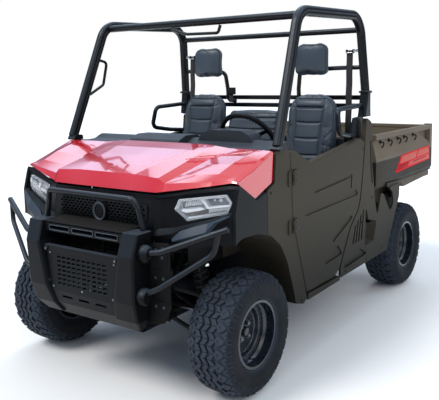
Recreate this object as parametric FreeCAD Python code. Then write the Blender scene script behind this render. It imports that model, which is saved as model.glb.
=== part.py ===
import FreeCAD, Part
import math
import os

# A three-seat side by side utility vehicle with a tilting cargo bed.
# Stations while modelling: x to the vehicle's left, y aft of the front axle, z above the ground, in mm.
# The front faces -y. save() moves every piece so that the box's bottom centre is the origin.

os.makedirs("parts", exist_ok=True)
V = FreeCAD.Vector

# ---- driving dimensions ----
WHEELBASE = 2090.0
NOSE_Y = -478.0            # foremost face of the front guard
TAIL_Y = 2746.0            # rearmost face of the bed skirts
CENTRE_Y = (NOSE_Y + TAIL_Y) / 2
BODY_HALF = 755.0          # outer face of doors and side panels
PANEL_GAP = 6.0            # gap between a moving panel and its neighbour
SEAT_GAP = 0.3             # gap between a soft or curved piece and its seat

TYRE_R = 312.0
TYRE_W = 254.0
TRACK_HALF = 648.0         # centre plane of a wheel
BEAD_R = 165.0
RIM_W = 204.0
RIM_WALL = 6.5
HUB_R = 36.0
SPINDLE_R = 17.5
RUN_CLEAR = 0.05           # radial clearance of a running fit
KINGPIN_X = 550.0
BALL_REACH = 104.0         # ball joints above and below the axle
STEER_ARM = 70.0           # steering arm ahead of the kingpin
BALL_R = 20.0
STUD = 26.0                # from a knuckle's tip to the ball's centre
BUSH_HALF = 22.0           # half length of a wishbone bush
LOWER_SPREAD = 130.0       # wishbone bushes ahead of and behind the axle
UPPER_SPREAD = 134.0
UPPER_FOOT_Z = 520.0
BUSH_R = 17.0
LOWER_FOOT_X = 304.0
UPPER_FOOT_X = 324.0
LOWER_FOOT_Z = 360.0
DAMPER_FOOT = V(424, 50, 310)
DAMPER_HEAD = V(330, 30, 752)
DAMPER_EYE_R = 16.0
RACK_Z = 402.0

RAIL_X = 260.0             # centre of a lower frame rail
RAIL_W = 50.0
RAIL_Z = 338.0             # underside of the rails
RAIL_H = 45.0
RAIL_FRONT = -300.0
RAIL_REAR = 2490.0
SILL_X = 640.0
FRAME_R = 20.0
DECK_RAIL_Z = 784.0        # centre of the rails under the bed

CAGE_LEAN = 0.0487         # how much a cage side leans in for each mm of height
CAGE_FOOT = V(749, 206, 1228)
CAGE_DEEP = 58.0           # cage tube, fore and aft
CAGE_WIDE = 46.0           # cage tube, across
BAR_R = 14.0               # light bars and handles

DOOR_T = 44.0
HINGE_X = BODY_HALF + 14.0
HINGE_Y = 340.0
HOOD_T = 14.0
HOOD_PIVOT = V(0, -254, 1066)
HOOD_PIN_R = 4.0
SHELL_T = 12.0             # moulded panels
SEAM_Y = 95.0              # seam between the nose and the front fender
LINER_X = 470.0            # inner edge of the front wheel arches
GRILLE_PITCH = 29.0        # honeycomb cells across the grille
GRILLE_ROWS = 8

BED_HALF = 742.0
BED_FRONT = 1514.0
BED_REAR = 2700.0
BED_BASE = 812.0           # underside of the bed floor
BED_FLOOR_T = 34.0
BED_TOP = 1182.0
BED_WALL = 52.0
BED_PIVOT = V(0, 2560, 782)
BED_PIVOT_R = 16.0
GATE_T = 30.0
LENS_T = 9.0
GATE_PIVOT = V(0, 2690, 862)
GATE_PIN_R = 8.0

STRUT_X = 200.0
STRUT_FOOT = V(STRUT_X, 1930, 470)
STRUT_EYE = V(STRUT_X, 2230, 770)

CASE_BASE = 394.0          # top of the cross members under engine and final drives
SHAFT_Z = 450.0
ENGINE_FRONT = 1500.0
ENGINE_REAR = 1850.0

BELT_X = 640.0             # centre of an outer seat belt
SEAT_X = 436.0
REST_Y = 1250.0            # tubes that carry the head restraints
CUSHION_TOP = 800.0
SEAT_BOX_TOP = 690.0
FLOOR_Z = RAIL_Z + RAIL_H + SEAT_GAP
FLOOR_T = 10.0
TUNNEL_HALF = 150.0
TUNNEL_TOP = 560.0

WHEEL_CENTRE = V(350, 550, 1225)
COLUMN_TILT = 35.0         # column above the horizontal, degrees
WHEEL_RIM_R = 172.0

RECEIVER_Z = 420.0
RECEIVER_IN = 51.0         # inside of the square hitch tube
RECEIVER_WALL = 6.5
HITCH_PIN_R = 8.0

# ---- building blocks ----
PLANES = {
    "yz": lambda a, b, c: V(c, a, b),
    "xz": lambda a, b, c: V(a, c, b),
    "xy": lambda a, b, c: V(a, b, c),
}


def corner_arcs(points, radii, closed):
    """Start, middle and end of the tangent arc that rounds each corner."""
    spans = []
    for index, (here, radius) in enumerate(zip(points, radii)):
        at_end = not closed and index in (0, len(points) - 1)
        if not radius or at_end:
            spans.append((here, here, here))
            continue
        back = (points[index - 1] - here).normalize()
        ahead = (points[(index + 1) % len(points)] - here).normalize()
        half = back.getAngle(ahead) / 2
        reach = radius / math.tan(half)
        inward = (back + ahead).normalize()
        spans.append((here + back * reach, here + inward * (radius / math.sin(half) - radius),
                      here + ahead * reach))
    return spans


def joined_edges(spans, closed):
    """Arcs at the corners and the lines between them."""
    edges = []
    for index, (start, middle, end) in enumerate(spans):
        if not start.isEqual(end, 1e-6):
            edges.append(Part.Arc(start, middle, end).toShape())
        if index + 1 < len(spans) or closed:
            following = spans[(index + 1) % len(spans)][0]
            if not end.isEqual(following, 1e-4):
                edges.append(Part.makeLine(end, following))
    return edges


def outline(corners, plane, level):
    """A closed wire through corners (a, b, radius) in a plane at the given level."""
    points = [PLANES[plane](corner[0], corner[1], level) for corner in corners]
    return Part.Wire(joined_edges(corner_arcs(points, [corner[2] for corner in corners], True), True))


def prism(corners, plane, low, high):
    """The outline through corners (a, b, radius), pushed from low to high."""
    return Part.Face(outline(corners, plane, low)).extrude(PLANES[plane](0, 0, high - low))


def block(x0, x1, y0, y1, z0, z1):
    return Part.makeBox(x1 - x0, y1 - y0, z1 - z0, V(x0, y0, z0))


def rounded_rect(a0, a1, b0, b1, radius):
    return [(a0, b0, radius), (a1, b0, radius), (a1, b1, radius), (a0, b1, radius)]


def rod(start, end, radius):
    return Part.makeCylinder(radius, (end - start).Length, start, end - start)


def run(points, bend):
    """An open path of straight runs joined by arcs of radius bend."""
    vectors = [V(*point) for point in points]
    return Part.Wire(joined_edges(corner_arcs(vectors, [bend] * len(vectors), False), False))


def tube(points, radius, bend=60.0):
    """A round bar along straight runs with bends."""
    path = run(points, bend)
    start, heading = V(*points[0]), V(*points[1]) - V(*points[0])
    section = Part.Wire(Part.makeCircle(radius, start, heading))
    return path.makePipeShell([section], True, False)


def turned(profile, start, heading=V(1, 0, 0)):
    """Revolve corners (along, radius, fillet) about the line from start along heading."""
    solid = Part.Face(outline(profile, "xy", 0)).revolve(V(0, 0, 0), V(1, 0, 0), 360)
    solid.Placement = FreeCAD.Placement(V(start), FreeCAD.Rotation(V(1, 0, 0), heading))
    return solid


def fused(shapes):
    return shapes[0].multiFuse(shapes[1:]).removeSplitter()


def flipped(shape):
    return shape.mirror(V(0, 0, 0), V(1, 0, 0))


def pair(shape):
    return Part.makeCompound([shape, flipped(shape)])


def loft(wires):
    return Part.makeLoft(wires, True, True)


def shifted(corners, along):
    return [(a + along, b, radius) for a, b, radius in corners]


def save(name, *shapes):
    node = Part.makeCompound([solid for shape in shapes for solid in shape.Solids])
    node.translate(V(0, -CENTRE_Y, 0))
    node.exportStep("parts/" + name + ".step")
    print(name, len(node.Solids), "solids", round(node.Volume / 1e6, 2), "litres", node.isValid())


# ---- wheels, knuckles and suspension ----
def tyre():
    """Section corners: offset from the centre plane, radius from the axle, fillet."""
    bead = RIM_W / 2 - RIM_WALL
    half = TYRE_W / 2
    outside = [(bead, BEAD_R, 0), (bead, BEAD_R + 11, 0), (half, BEAD_R + 75, 55),
               (half - 7, TYRE_R - 20, 18), (half - 38, TYRE_R, 14)]
    inside = [(half - 28, TYRE_R - 27, 22), (half - 14, BEAD_R + 74, 45), (bead - 12, BEAD_R + 11, 0),
              (bead - 12, BEAD_R, 0)]
    far = [(-a, r, f) for a, r, f in outside]
    return turned(outside + far[::-1] + [(-a, r, f) for a, r, f in inside[::-1]] + inside,
                  V(TRACK_HALF, 0, 0))


def wheel():
    """Steel wheel with a stepped deep dish, its nuts, hub, brake disc and stub axle."""
    bead = RIM_W / 2 - RIM_WALL + 0.3
    edge = RIM_W / 2
    seat = BEAD_R - 0.3
    drop = seat - 15
    lip = BEAD_R + 8
    barrel = [(-edge, lip, 2), (-bead, lip, 2), (-bead, seat, 0), (-62, seat, 6), (-50, drop, 6), (38, drop, 6),
              (50, seat, 6), (bead, seat, 0), (bead, lip, 2), (edge, lip, 2), (edge, seat - RIM_WALL, 0),
              (54, seat - RIM_WALL, 6), (42, drop - RIM_WALL, 6), (-54, drop - RIM_WALL, 6),
              (-66, seat - RIM_WALL, 6), (-edge, seat - RIM_WALL, 0)]
    dish = [(36, drop - 3, 0), (30, 124, 8), (6, 114, 8), (6, 70, 6), (14, 62, 6), (14, 24, 0),
            (6, 24, 0), (6, 56, 6), (-2, 64, 6), (-2, 120, 8), (22, 130, 8), (28, drop - 3, 0)]
    hub = [(14, 0, 0), (14, 30, 4), (-2, HUB_R, 0), (-72, HUB_R, 0), (-72, SPINDLE_R, 0), (-116, SPINDLE_R, 0),
           (-116, 0, 0)]
    cap = [(13, 0, 0), (13, 24, 0), (40, 22, 5), (40, 0, 0)]
    disc = [(-58, HUB_R - 4, 0), (-58, 106, 0), (-63, 106, 0), (-63, HUB_R - 4, 0)]
    pieces = [turned(profile, V(TRACK_HALF, 0, 0)) for profile in (barrel, dish, hub, cap, disc)]
    for quarter in range(4):
        angle = math.radians(45 + 90 * quarter)
        foot = V(TRACK_HALF + 5, 46 * math.cos(angle), 46 * math.sin(angle))
        pieces.append(rod(foot, foot + V(24, 0, 0), 10))
    return fused(pieces)


def knuckle():
    """Bearing housing on the kingpin, with its arms, steering arm and brake caliper."""
    bore = SPINDLE_R + RUN_CLEAR
    housing = turned([(-26, bore, 0), (24, bore, 0), (24, 44, 4), (-26, 50, 4)], V(KINGPIN_X, 0, 0))
    pieces = [housing]
    for side in (1, -1):
        tip = V(KINGPIN_X, 0, side * BALL_REACH)
        pieces.append(rod(tip - V(0, 0, side * 14), tip, 13))
        pieces.append(rod(tip, tip + V(0, 0, side * (STUD - BALL_R - SEAT_GAP)), 6))
        pieces.append(prism([(-22, side * 34, 0), (22, side * 34, 0), (12, side * BALL_REACH, 0),
                             (-12, side * BALL_REACH, 0)], "yz", KINGPIN_X - 12, KINGPIN_X + 12))
    pieces.append(prism([(30, -58, 12), (96, -46, 14), (118, 0, 20), (96, 46, 14), (30, 58, 12)],
                        "yz", TRACK_HALF - 74, TRACK_HALF - 46))
    slot = block(TRACK_HALF - 68, TRACK_HALF - 53, 0, 112, -80, 80)
    foot = prism([(20, -34, 0), (62, -30, 0), (62, 30, 0), (20, 34, 0)], "yz", KINGPIN_X + 8, TRACK_HALF - 68)
    hub_room = turned([(-80, 0, 0), (-80, HUB_R + 4, 0), (-40, HUB_R + 4, 0), (-40, 0, 0)], V(TRACK_HALF, 0, 0))
    return fused(pieces + [foot]).cut(fused([slot, hub_room]))


def steering_arm():
    """Arm that reaches forward from the top of the housing to the tie rod's eye."""
    tip_x = KINGPIN_X - 8
    top = RACK_Z - TYRE_R - 16
    return prism([(tip_x - 16, -STEER_ARM - 16, 15), (tip_x + 16, -STEER_ARM - 16, 15),
                  (KINGPIN_X + 20, 10, 0), (KINGPIN_X - 20, 10, 0)], "xy", top - 14, top)


def wishbone(ball, feet_x, spread, feet_z):
    """Two legs from the inner bushes to one ball joint, in stations about the axle."""
    pieces = [Part.makeSphere(BALL_R, ball)]
    for side in (1, -1):
        foot = V(feet_x, side * spread, feet_z)
        pieces.append(rod(foot, ball, 12))
        pieces.append(rod(foot - V(0, BUSH_HALF, 0), foot + V(0, BUSH_HALF, 0), BUSH_R))
    return fused(pieces)


def arms():
    """Upper and lower wishbones of one corner; the lower one carries the damper's clevis."""
    reach = BALL_REACH + STUD
    lower = wishbone(V(KINGPIN_X, 0, TYRE_R - reach), LOWER_FOOT_X, LOWER_SPREAD, LOWER_FOOT_Z)
    upper = wishbone(V(KINGPIN_X, 0, TYRE_R + reach), UPPER_FOOT_X, UPPER_SPREAD, UPPER_FOOT_Z)
    x, y, z = DAMPER_FOOT
    clevis = [block(x - 14, x + 14, y - DAMPER_EYE_R - 6.3, y + DAMPER_EYE_R + 6.3, z - 33, z - 23)]
    for side in (1, -1):
        near, far = y + side * (DAMPER_EYE_R + SEAT_GAP), y + side * (DAMPER_EYE_R + 6.3)
        clevis.append(block(x - 14, x + 14, min(near, far), max(near, far), z - 30, z + 12))
    return [fused([lower] + clevis), upper]


def damper(foot, head):
    """Coil-over damper: body, rod, spring sleeve and an eye at each end."""
    heading = head - foot
    length = heading.Length
    profile = [(0, 0, 0), (0, 13, 0), (72, 13, 0), (72, 38, 2), (80, 38, 0), (80, 31, 0),
               (length - 90, 31, 0), (length - 90, 38, 0), (length - 82, 38, 2), (length - 82, 13, 0),
               (length, 13, 0), (length, 0, 0)]
    eyes = [rod(end - V(0, DAMPER_EYE_R, 0), end + V(0, DAMPER_EYE_R, 0), DAMPER_EYE_R) for end in (foot, head)]
    return fused([turned(profile, foot, heading)] + eyes)


def running_gear():
    wheel_body, tyre_body = wheel(), tyre()
    knuckle_body = fused([knuckle(), steering_arm()])
    carrier = knuckle()
    for name, station in (("front", 0.0), ("rear", WHEELBASE)):
        place = V(0, station, TYRE_R)
        for side in ("left", "right"):
            for kind, shape in (("tyre", tyre_body), ("wheel", wheel_body)):
                piece = shape.translated(place)
                save(name + "_" + side + "_" + kind, piece if side == "left" else flipped(piece))
    for side in ("left", "right"):
        piece = knuckle_body.translated(V(0, 0, TYRE_R))
        save("front_" + side + "_knuckle", piece if side == "left" else flipped(piece))
    save("rear_hub_carriers", pair(carrier.translated(V(0, WHEELBASE, TYRE_R))))
    legs, dampers = [], []
    for station in (0.0, WHEELBASE):
        place = V(0, station, 0)
        legs += [pair(arm.translated(place)) for arm in arms()]
        dampers.append(pair(damper(DAMPER_FOOT + place, DAMPER_HEAD + place)))
    save("suspension_arms", *legs)
    save("coil_over_dampers", *dampers)


def drive_line():
    """Differentials as finned cases, the long shaft and the four half shafts."""
    low = CASE_BASE + SEAT_GAP
    front = prism(rounded_rect(-30, 150, low, low + 122, 26), "yz", -86, 86)
    rear = prism(rounded_rect(WHEELBASE - 105, WHEELBASE + 105, low, low + 136, 30), "yz", -110, 110)
    noses = [rod(V(0, 140, SHAFT_Z), V(0, 190, SHAFT_Z), 34),
             rod(V(0, WHEELBASE - 160, SHAFT_Z), V(0, WHEELBASE - 90, SHAFT_Z), 36)]
    save("final_drives", fused([front, noses[0]]), fused([rear, noses[1]]))
    shafts = [rod(V(0, 190 + SEAT_GAP, SHAFT_Z), V(0, ENGINE_FRONT - SEAT_GAP, SHAFT_Z), 21),
              rod(V(0, ENGINE_REAR + SEAT_GAP, SHAFT_Z), V(0, WHEELBASE - 160 - SEAT_GAP, SHAFT_Z), 21)]
    for station, case_x, case_y, case_z in ((0.0, 86, 40, 470), (WHEELBASE, 110, WHEELBASE, 462)):
        inner = V(case_x + 14, case_y, case_z)
        outer = V(KINGPIN_X - 54, station, TYRE_R)
        heading = (outer - inner).normalize()
        stubs = [rod(inner - V(14 - SEAT_GAP, 0, 0), inner + V(4, 0, 0), 20),
                 rod(outer - V(4, 0, 0), outer + V(11, 0, 0), 12)]
        boots = [turned([(0, 0, 0), (0, 38, 3), (40, 34, 0), (88, 17, 0), (88, 0, 0)], inner, heading),
                 turned([(0, 0, 0), (0, 30, 3), (36, 28, 0), (76, 16, 0), (76, 0, 0)], outer, heading * -1)]
        shafts.append(pair(fused([rod(inner + heading * 60, outer - heading * 60, 12)] + boots + stubs)))
    save("drive_shafts", *shafts)


def engine():
    case = prism(rounded_rect(ENGINE_FRONT, ENGINE_REAR, CASE_BASE + SEAT_GAP, 700, 40), "yz", -205, 205)
    head = prism(rounded_rect(1560, 1760, 640, 768, 20), "yz", -120, 120)
    save("engine", fused([case, head]))
    muffler = turned([(0, 0, 0), (0, 62, 20), (30, 78, 16), (430, 78, 16), (460, 62, 20), (460, 0, 0)],
                     V(-230, 2330, 600))
    pipes = [tube([(-150, 1850.3, 560), (-150, 2120, 560), (-150, 2300, 600)], 22, 120),
             tube([(120, 2350, 600), (120, 2440, 600), (120, 2520, 585)], 24, 60)]
    save("exhaust", fused([muffler] + pipes))


# ---- frame ----
def rail(x, y0, y1):
    """Rectangular lower rail with a wall."""
    half = RAIL_W / 2
    body = prism(rounded_rect(x - half, x + half, RAIL_Z, RAIL_Z + RAIL_H, 6), "xz", y0, y1)
    room = prism(rounded_rect(x - half + 4, x + half - 4, RAIL_Z + 4, RAIL_Z + RAIL_H - 4, 3), "xz", y0 - 1, y1 + 1)
    return body.cut(room)


def receiver():
    """Square hitch tube with its cross pin hole, on the rear cross member."""
    half = RECEIVER_IN / 2 + RECEIVER_WALL
    low, high = RAIL_REAR - 50, RAIL_REAR + 110
    body = prism(rounded_rect(-half, half, RECEIVER_Z - half, RECEIVER_Z + half, 5), "xz", low, high)
    room = prism(rounded_rect(-RECEIVER_IN / 2, RECEIVER_IN / 2, RECEIVER_Z - RECEIVER_IN / 2,
                              RECEIVER_Z + RECEIVER_IN / 2, 2), "xz", low - 1, high + 1)
    pin = rod(V(-80, high - 45, RECEIVER_Z), V(80, high - 45, RECEIVER_Z), HITCH_PIN_R)
    return body.cut(room).cut(pin)


def across(side, x0, x1, y0, y1, z0, z1):
    """A block given by its near and far distance from the centre plane, on one side."""
    return block(min(side * x0, side * x1), max(side * x0, side * x1), y0, y1, z0, z1)


def suspension_brackets(side, station):
    """Ears that hold the wishbone bushes and the damper's head."""
    pieces = []
    rail_face = RAIL_X + RAIL_W / 2 - 1
    bushes = [(LOWER_SPREAD, LOWER_FOOT_X, LOWER_FOOT_Z, rail_face),
              (UPPER_SPREAD, UPPER_FOOT_X, UPPER_FOOT_Z, RAIL_X)]
    for spread, x, z, root in bushes:
        for end in (spread, -spread):
            for ear in (BUSH_HALF + SEAT_GAP, -BUSH_HALF - SEAT_GAP - 6):
                y = station + end + ear
                pieces.append(across(side, root, x + 14, y, y + 6, z - 18, z + 18))
            if root == RAIL_X:
                y = station + end
                pieces.append(across(side, RAIL_X + 8, RAIL_X + 18, y - BUSH_HALF - 6, y + BUSH_HALF + 6,
                                     z - 18, z + 18))
    x, y, z = DAMPER_HEAD
    for ear in (DAMPER_EYE_R + SEAT_GAP, -DAMPER_EYE_R - SEAT_GAP - 6):
        pieces.append(across(side, x - 16, x + 14, station + y + ear, station + y + ear + 6, z - 14, DECK_RAIL_Z + 8))
    pieces.append(across(side, x - 16, x + 14, station + y - DAMPER_EYE_R - 5, station + y + DAMPER_EYE_R + 5,
                         z + DAMPER_EYE_R + 2, z + DAMPER_EYE_R + 10))
    return pieces


def frame():
    rail_top = RAIL_Z + RAIL_H
    rail_mid = RAIL_Z + RAIL_H / 2
    deck = DECK_RAIL_Z
    pieces = [rail(side * RAIL_X, RAIL_FRONT, RAIL_REAR) for side in (1, -1)]
    # Cross members: station, height, half length, radius.
    saddle = CASE_BASE - 16
    crosses = [(-12, saddle, RAIL_X, 16), (120, saddle, RAIL_X, 16), (1560, saddle, RAIL_X, 16),
               (1790, saddle, RAIL_X, 16), (WHEELBASE - 70, saddle, RAIL_X, 16), (WHEELBASE + 70, saddle, RAIL_X, 16),
               (-270, rail_mid, RAIL_X, 16), (500, rail_mid, SILL_X, FRAME_R), (940, rail_mid, SILL_X, FRAME_R),
               (1340, rail_mid, SILL_X, FRAME_R), (2460, rail_mid, RAIL_X, FRAME_R),
               (-200, 880, RAIL_X, 16), (200, 1010, RAIL_X, 16), (222, 1130, 700, FRAME_R),
               (DAMPER_HEAD.y, deck, RAIL_X + 82, 14), (WHEELBASE + DAMPER_HEAD.y, deck, RAIL_X + 82, 14),
               (1470, deck, 656, FRAME_R)]
    for y, z, half, radius in crosses:
        pieces.append(rod(V(-half, y, z), V(half, y, z), radius))
    pieces.append(rod(BED_PIVOT - V(380, 0, 0), BED_PIVOT + V(380, 0, 0), BED_PIVOT_R))
    # Tubes of one side; both sides are alike.
    for side in (1, -1):
        x = side * RAIL_X
        runs = [
            [(side * SILL_X, 470, rail_mid), (side * SILL_X, 1450, rail_mid), (side * 676, 1450, 1092)],
            [(side * SILL_X, 490, rail_mid), (side * 722, 222, 1192)],
            [(x, -200, rail_top - 6), (x, -200, 880), (x, 200, 1010)],
            [(x, 200, rail_top - 6), (x, 200, 1010)],
            [(x, 200, 1010), (x, 222, 1130)],
            [(x, 1470, rail_top - 6), (x, 1470, deck)],
            [(x, 1470, deck), (x, 2560, deck - 2)],
            [(x, 2240, deck), (x, 2420, rail_top - 6)],
        ]
        pieces.append(rod(V(x, -200, deck), V(x, 200, deck), 14))
        # Seats of the cage: under its front foot and under the rear pillar's foot.
        pieces.append(across(side, 706, 741, 206, 238, 1180, CAGE_FOOT.z - 22 - SEAT_GAP))
        pieces.append(across(side, 666, 700, 1384, 1464, 1084, 1100 - SEAT_GAP))
        for station in (0.0, WHEELBASE):
            runs += [[(x, station + post, rail_top - 6), (x, station + post, deck)] for post in (-134, 134)]
            pieces += suspension_brackets(side, station)
        for points in runs:
            pieces.append(tube(points, 16, 40))
    half = RECEIVER_IN / 2 + RECEIVER_WALL
    pieces.append(block(-60, 60, RAIL_REAR - 46, RAIL_REAR - 34, rail_mid - 10, RECEIVER_Z + half))
    pieces.append(receiver())
    return fused(pieces)


def skid_plate():
    """Folded plate under the rails, turned up at the nose, with drain holes in rows."""
    low, thick = RAIL_Z - SEAT_GAP, 4.0
    plate = prism([(-346, low + 16, 0), (-322, low, 30), (1440, low, 0), (1440, low - thick, 0),
                   (-323, low - thick, 30), (-349, low + 13, 0)], "yz", -RAIL_X - 25, RAIL_X + 25)
    holes = []
    for column in (-150, 0, 150):
        for row in range(6):
            y = -40 + row * 260
            holes.append(prism(rounded_rect(column - 22, column + 22, y, y + 110, 20), "xy", low - 20, low + 20))
    return plate.cut(fused(holes))


# ---- body panels ----
# Door edge corners: station, height, radius.
DOOR_FRONT = [(492, 402, 14), (384, 718, 120), (344, 832, 120), (339, 995, 400), (318, 1191, 10)]
DOOR_REAR = [(1293, 1158, 12), (1255, 923, 400), (1224, 794, 90), (1191, 729, 70), (1077, 639, 260),
             (984, 507, 160), (924, 408, 60)]
DOOR_TOP = [(387, 1190, 26), (558, 1108, 40), (1232, 1187, 24)]


def door():
    """Half door: full outline with a softened outer edge, pressed recesses and two hinge straps."""
    edge = DOOR_FRONT + DOOR_TOP + DOOR_REAR + [(864, 378, 20), (518, 380, 12)]
    inner, outer = BODY_HALF - DOOR_T, BODY_HALF
    shell = prism(edge, "yz", inner, outer - 8)
    crown = outline(edge, "yz", outer - 8)
    top = crown.makeOffset2D(-8)
    top.translate(V(8, 0, 0))
    skin = fused([shell, loft([crown, top])])
    # Pressed recesses in the outer face, then the tray cut into the inner face.
    recesses = [
        [(602, 944, 4), (1102, 974, 8), (1090, 886, 8), (1070, 886, 4), (1084, 956, 6), (602, 930, 4)],
        [(518, 862, 4), (1162, 868, 6), (1190, 830, 8), (486, 818, 4)],
        [(823, 668, 4), (1080, 716, 8), (1120, 700, 10), (838, 596, 4)],
        [(738, 560, 6), (900, 566, 10), (962, 500, 10), (728, 486, 6)],
    ]
    for corners in recesses:
        skin = skin.cut(prism(corners, "yz", outer - 7, outer + 5))
    skin = skin.cut(prism([(470, 520, 30), (900, 520, 30), (1080, 700, 40), (1150, 840, 40), (1180, 1040, 30),
                           (560, 1020, 40), (440, 900, 30)], "yz", inner - 5, inner + 16))
    pieces = [skin]
    for z0, z1 in ((1008, 1092), (752, 829)):
        pieces.append(prism(rounded_rect(HINGE_Y + 12, 404, z0, z1, 14), "yz", outer + 1, outer + 8))
        pieces.append(block(outer - 4, outer + 2, 390, 400, z0 + 14, z1 - 14))
        pieces.append(rod(V(HINGE_X, HINGE_Y, z0 + 22), V(HINGE_X, HINGE_Y, z1 - 22), 9))
        pieces.append(block(HINGE_X - 13, HINGE_X - 4, HINGE_Y, HINGE_Y + 16, z0 + 22, z1 - 22))
    return fused(pieces)


def hinge_leaves():
    """Fender side of the door hinges, with the pin's two knuckles."""
    pieces = []
    for z0, z1 in ((1008, 1092), (752, 829)):
        pieces.append(prism(rounded_rect(296, HINGE_Y - 12, z0, z1, 12), "yz", BODY_HALF, BODY_HALF + 8))
        for low, high in ((z0 + 6, z0 + 21.9), (z1 - 21.9, z1 - 6)):
            pieces.append(rod(V(HINGE_X, HINGE_Y, low), V(HINGE_X, HINGE_Y, high), 9))
            pieces.append(block(HINGE_X - 14, HINGE_X + 2, HINGE_Y - 16, HINGE_Y - 2, low, high))
    return fused(pieces)


def arch_liner(corners, x0, x1, depth):
    """A strip that follows the arch from the panel inwards."""
    upper = [(a + depth * 0.7, b + depth * 0.7, radius) for a, b, radius in corners[::-1]]
    return prism([(a, b, 0) for a, b, radius in corners] + [(a, b, 0) for a, b, radius in upper], "yz", x0, x1)


def front_fender():
    """Side panel between the nose seam and the door, with the liner over the tyre."""
    edge = ([(SEAM_Y + 3, 798, 0), (130, 785, 150), (223, 715, 140), (288, 614, 200), (347, 459, 260),
             (381, 356, 30), (462, 331, 10), (506, 350, 10)]
            + shifted(DOOR_FRONT, -PANEL_GAP)[:-1] + [(312, 1200, 4), (184, 1204, 4),
                                                      (166, 1046, 6), (SEAM_Y + 3, 1018, 4)])
    panel = prism(edge, "yz", BODY_HALF - SHELL_T, BODY_HALF)
    lip = arch_liner([(SEAM_Y + 3, 798, 0), (150, 774, 0), (223, 715, 0), (288, 614, 0), (347, 459, 0),
                      (381, 356, 0)], LINER_X, BODY_HALF - 2, 9)
    wall = prism([(SEAM_Y + 3, 804, 0), (150, 780, 0), (223, 721, 0), (276, 640, 0), (SEAM_Y + 3, 640, 0)], "yz",
                 LINER_X, LINER_X + 6)
    shelf = prism([(244, 1202, 0), (312, 1200, 0), (312, 1190, 0), (244, 1192, 0)], "yz", 690, BODY_HALF - 2)
    return fused([panel, lip, wall, shelf])


# Outline of a headlight opening: x, height, radius.
LAMP_EDGE = [(440, 955, 8), (463, 1005, 10), (692, 1036, 12), (723, 1000, 8), (706, 944, 10), (503, 899, 8)]


# Nose sections of one side: x, then station and height of the top edge, the brow's lower edge, the top and the
# foot of the lamp recess, the cheek's edge and the lower edge.
NOSE = [
    (0, (-288, 1020), (-291, 1004), (-292, 1000), (-309, 852), (-314, 826), (-312, 812)),
    (352, (-281, 1020), (-283, 1004), (-284, 1000), (-296, 852), (-303, 824), (-303, 808)),
    (380, (-272, 1022), (-276, 1008), (-262, 1002), (-276, 860), (-305, 830), (-300, 794)),
    (455, (-245, 1033), (-250, 1020), (-234, 1013), (-252, 870), (-292, 846), (-288, 770)),
    (520, (-221, 1047), (-227, 1031), (-212, 1024), (-232, 888), (-268, 876), (-262, 778)),
    (620, (-186, 1062), (-193, 1046), (-180, 1038), (-202, 917), (-236, 906), (-226, 790)),
    (700, (-156, 1075), (-164, 1060), (-156, 1051), (-178, 947), (-202, 938), (-196, 800)),
    (735, (-148, 1073), (-154, 1063), (-151, 1055), (-170, 958), (-187, 950), (-186, 803)),
]


def fascia_section(x, *outer):
    """Closed section of the nose shell in a plane across x."""
    points = [V(x, y, z) for y, z in outer] + [V(x, y + SHELL_T, z) for y, z in outer[::-1]]
    return Part.makePolygon(points + points[:1])


def fascia():
    """Nose shell with its grille and lamp openings, cheeks, and the wraps over the front of the wheels."""
    half = loft([fascia_section(*section) for section in NOSE])
    grille = prism([(-316, 971, 16), (316, 971, 16), (311, 851, 16), (-311, 851, 16)], "xz", -400, -200)
    lamp = prism(LAMP_EDGE, "xz", -400, -100)
    half = half.cut(fused([grille, lamp]))
    wrap = prism([(-184, 803, 0), (-142, 827, 120), (-4, 821, 260), (SEAM_Y - 1, 799, 0), (SEAM_Y - 1, 1014, 4),
                  (-3, 986, 0), (-145, 1076, 0), (-153, 1060, 0), (-184, 950, 0)], "yz",
                 BODY_HALF - SHELL_T - 10, BODY_HALF)
    tab = block(BODY_HALF - SHELL_T - 10, BODY_HALF - SHELL_T - SEAT_GAP, SEAM_Y - 6, SEAM_Y + 24, 860, 970)
    front_arch = [(-184, 816, 0), (-142, 827, 0), (-4, 821, 0), (SEAM_Y - 8, 799, 0)]
    ledge = arch_liner(front_arch, LINER_X, BODY_HALF - 2, 8)
    wall = prism(front_arch + [(SEAM_Y - 8, 640, 0), (-184, 640, 0)], "yz", LINER_X - 6, LINER_X)
    wall = wall.fuse(arch_liner(front_arch, LINER_X - 6, LINER_X + 2, 8))
    side = fused([half, wrap, ledge, wall, tab])
    return fused([side, flipped(side)])


def grille():
    """Honeycomb panel that fills the nose opening round a plain badge ring."""
    corners = [(-315.5, 970.5, 16), (315.5, 970.5, 16), (310.5, 851.5, 16), (-310.5, 851.5, 16)]
    panel = prism(corners, "xz", -296, -286)
    cells = []
    for row in range(GRILLE_ROWS):
        z = 862 + row * 98.0 / (GRILLE_ROWS - 1)
        offset = GRILLE_PITCH / 2 if row % 2 else 0
        for column in range(-10, 11):
            x = column * GRILLE_PITCH + offset
            if abs(x) > 293 or math.hypot(x, z - 912) < 56:
                continue
            hexagon = [(x + GRILLE_PITCH * 0.44 * math.cos(math.radians(60 * k)),
                        z + GRILLE_PITCH * 0.22 * math.sin(math.radians(60 * k)), 0) for k in range(6)]
            cells.append(prism(hexagon, "xz", -300, -280))
    badge = turned([(0, 0, 0), (0, 44, 3), (14, 44, 3), (14, 34, 0), (9, 34, 0), (9, 0, 0)], V(0, -294, 912),
                   V(0, -1, 0))
    return fused([panel.cut(Part.makeCompound(cells)), badge])


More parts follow.
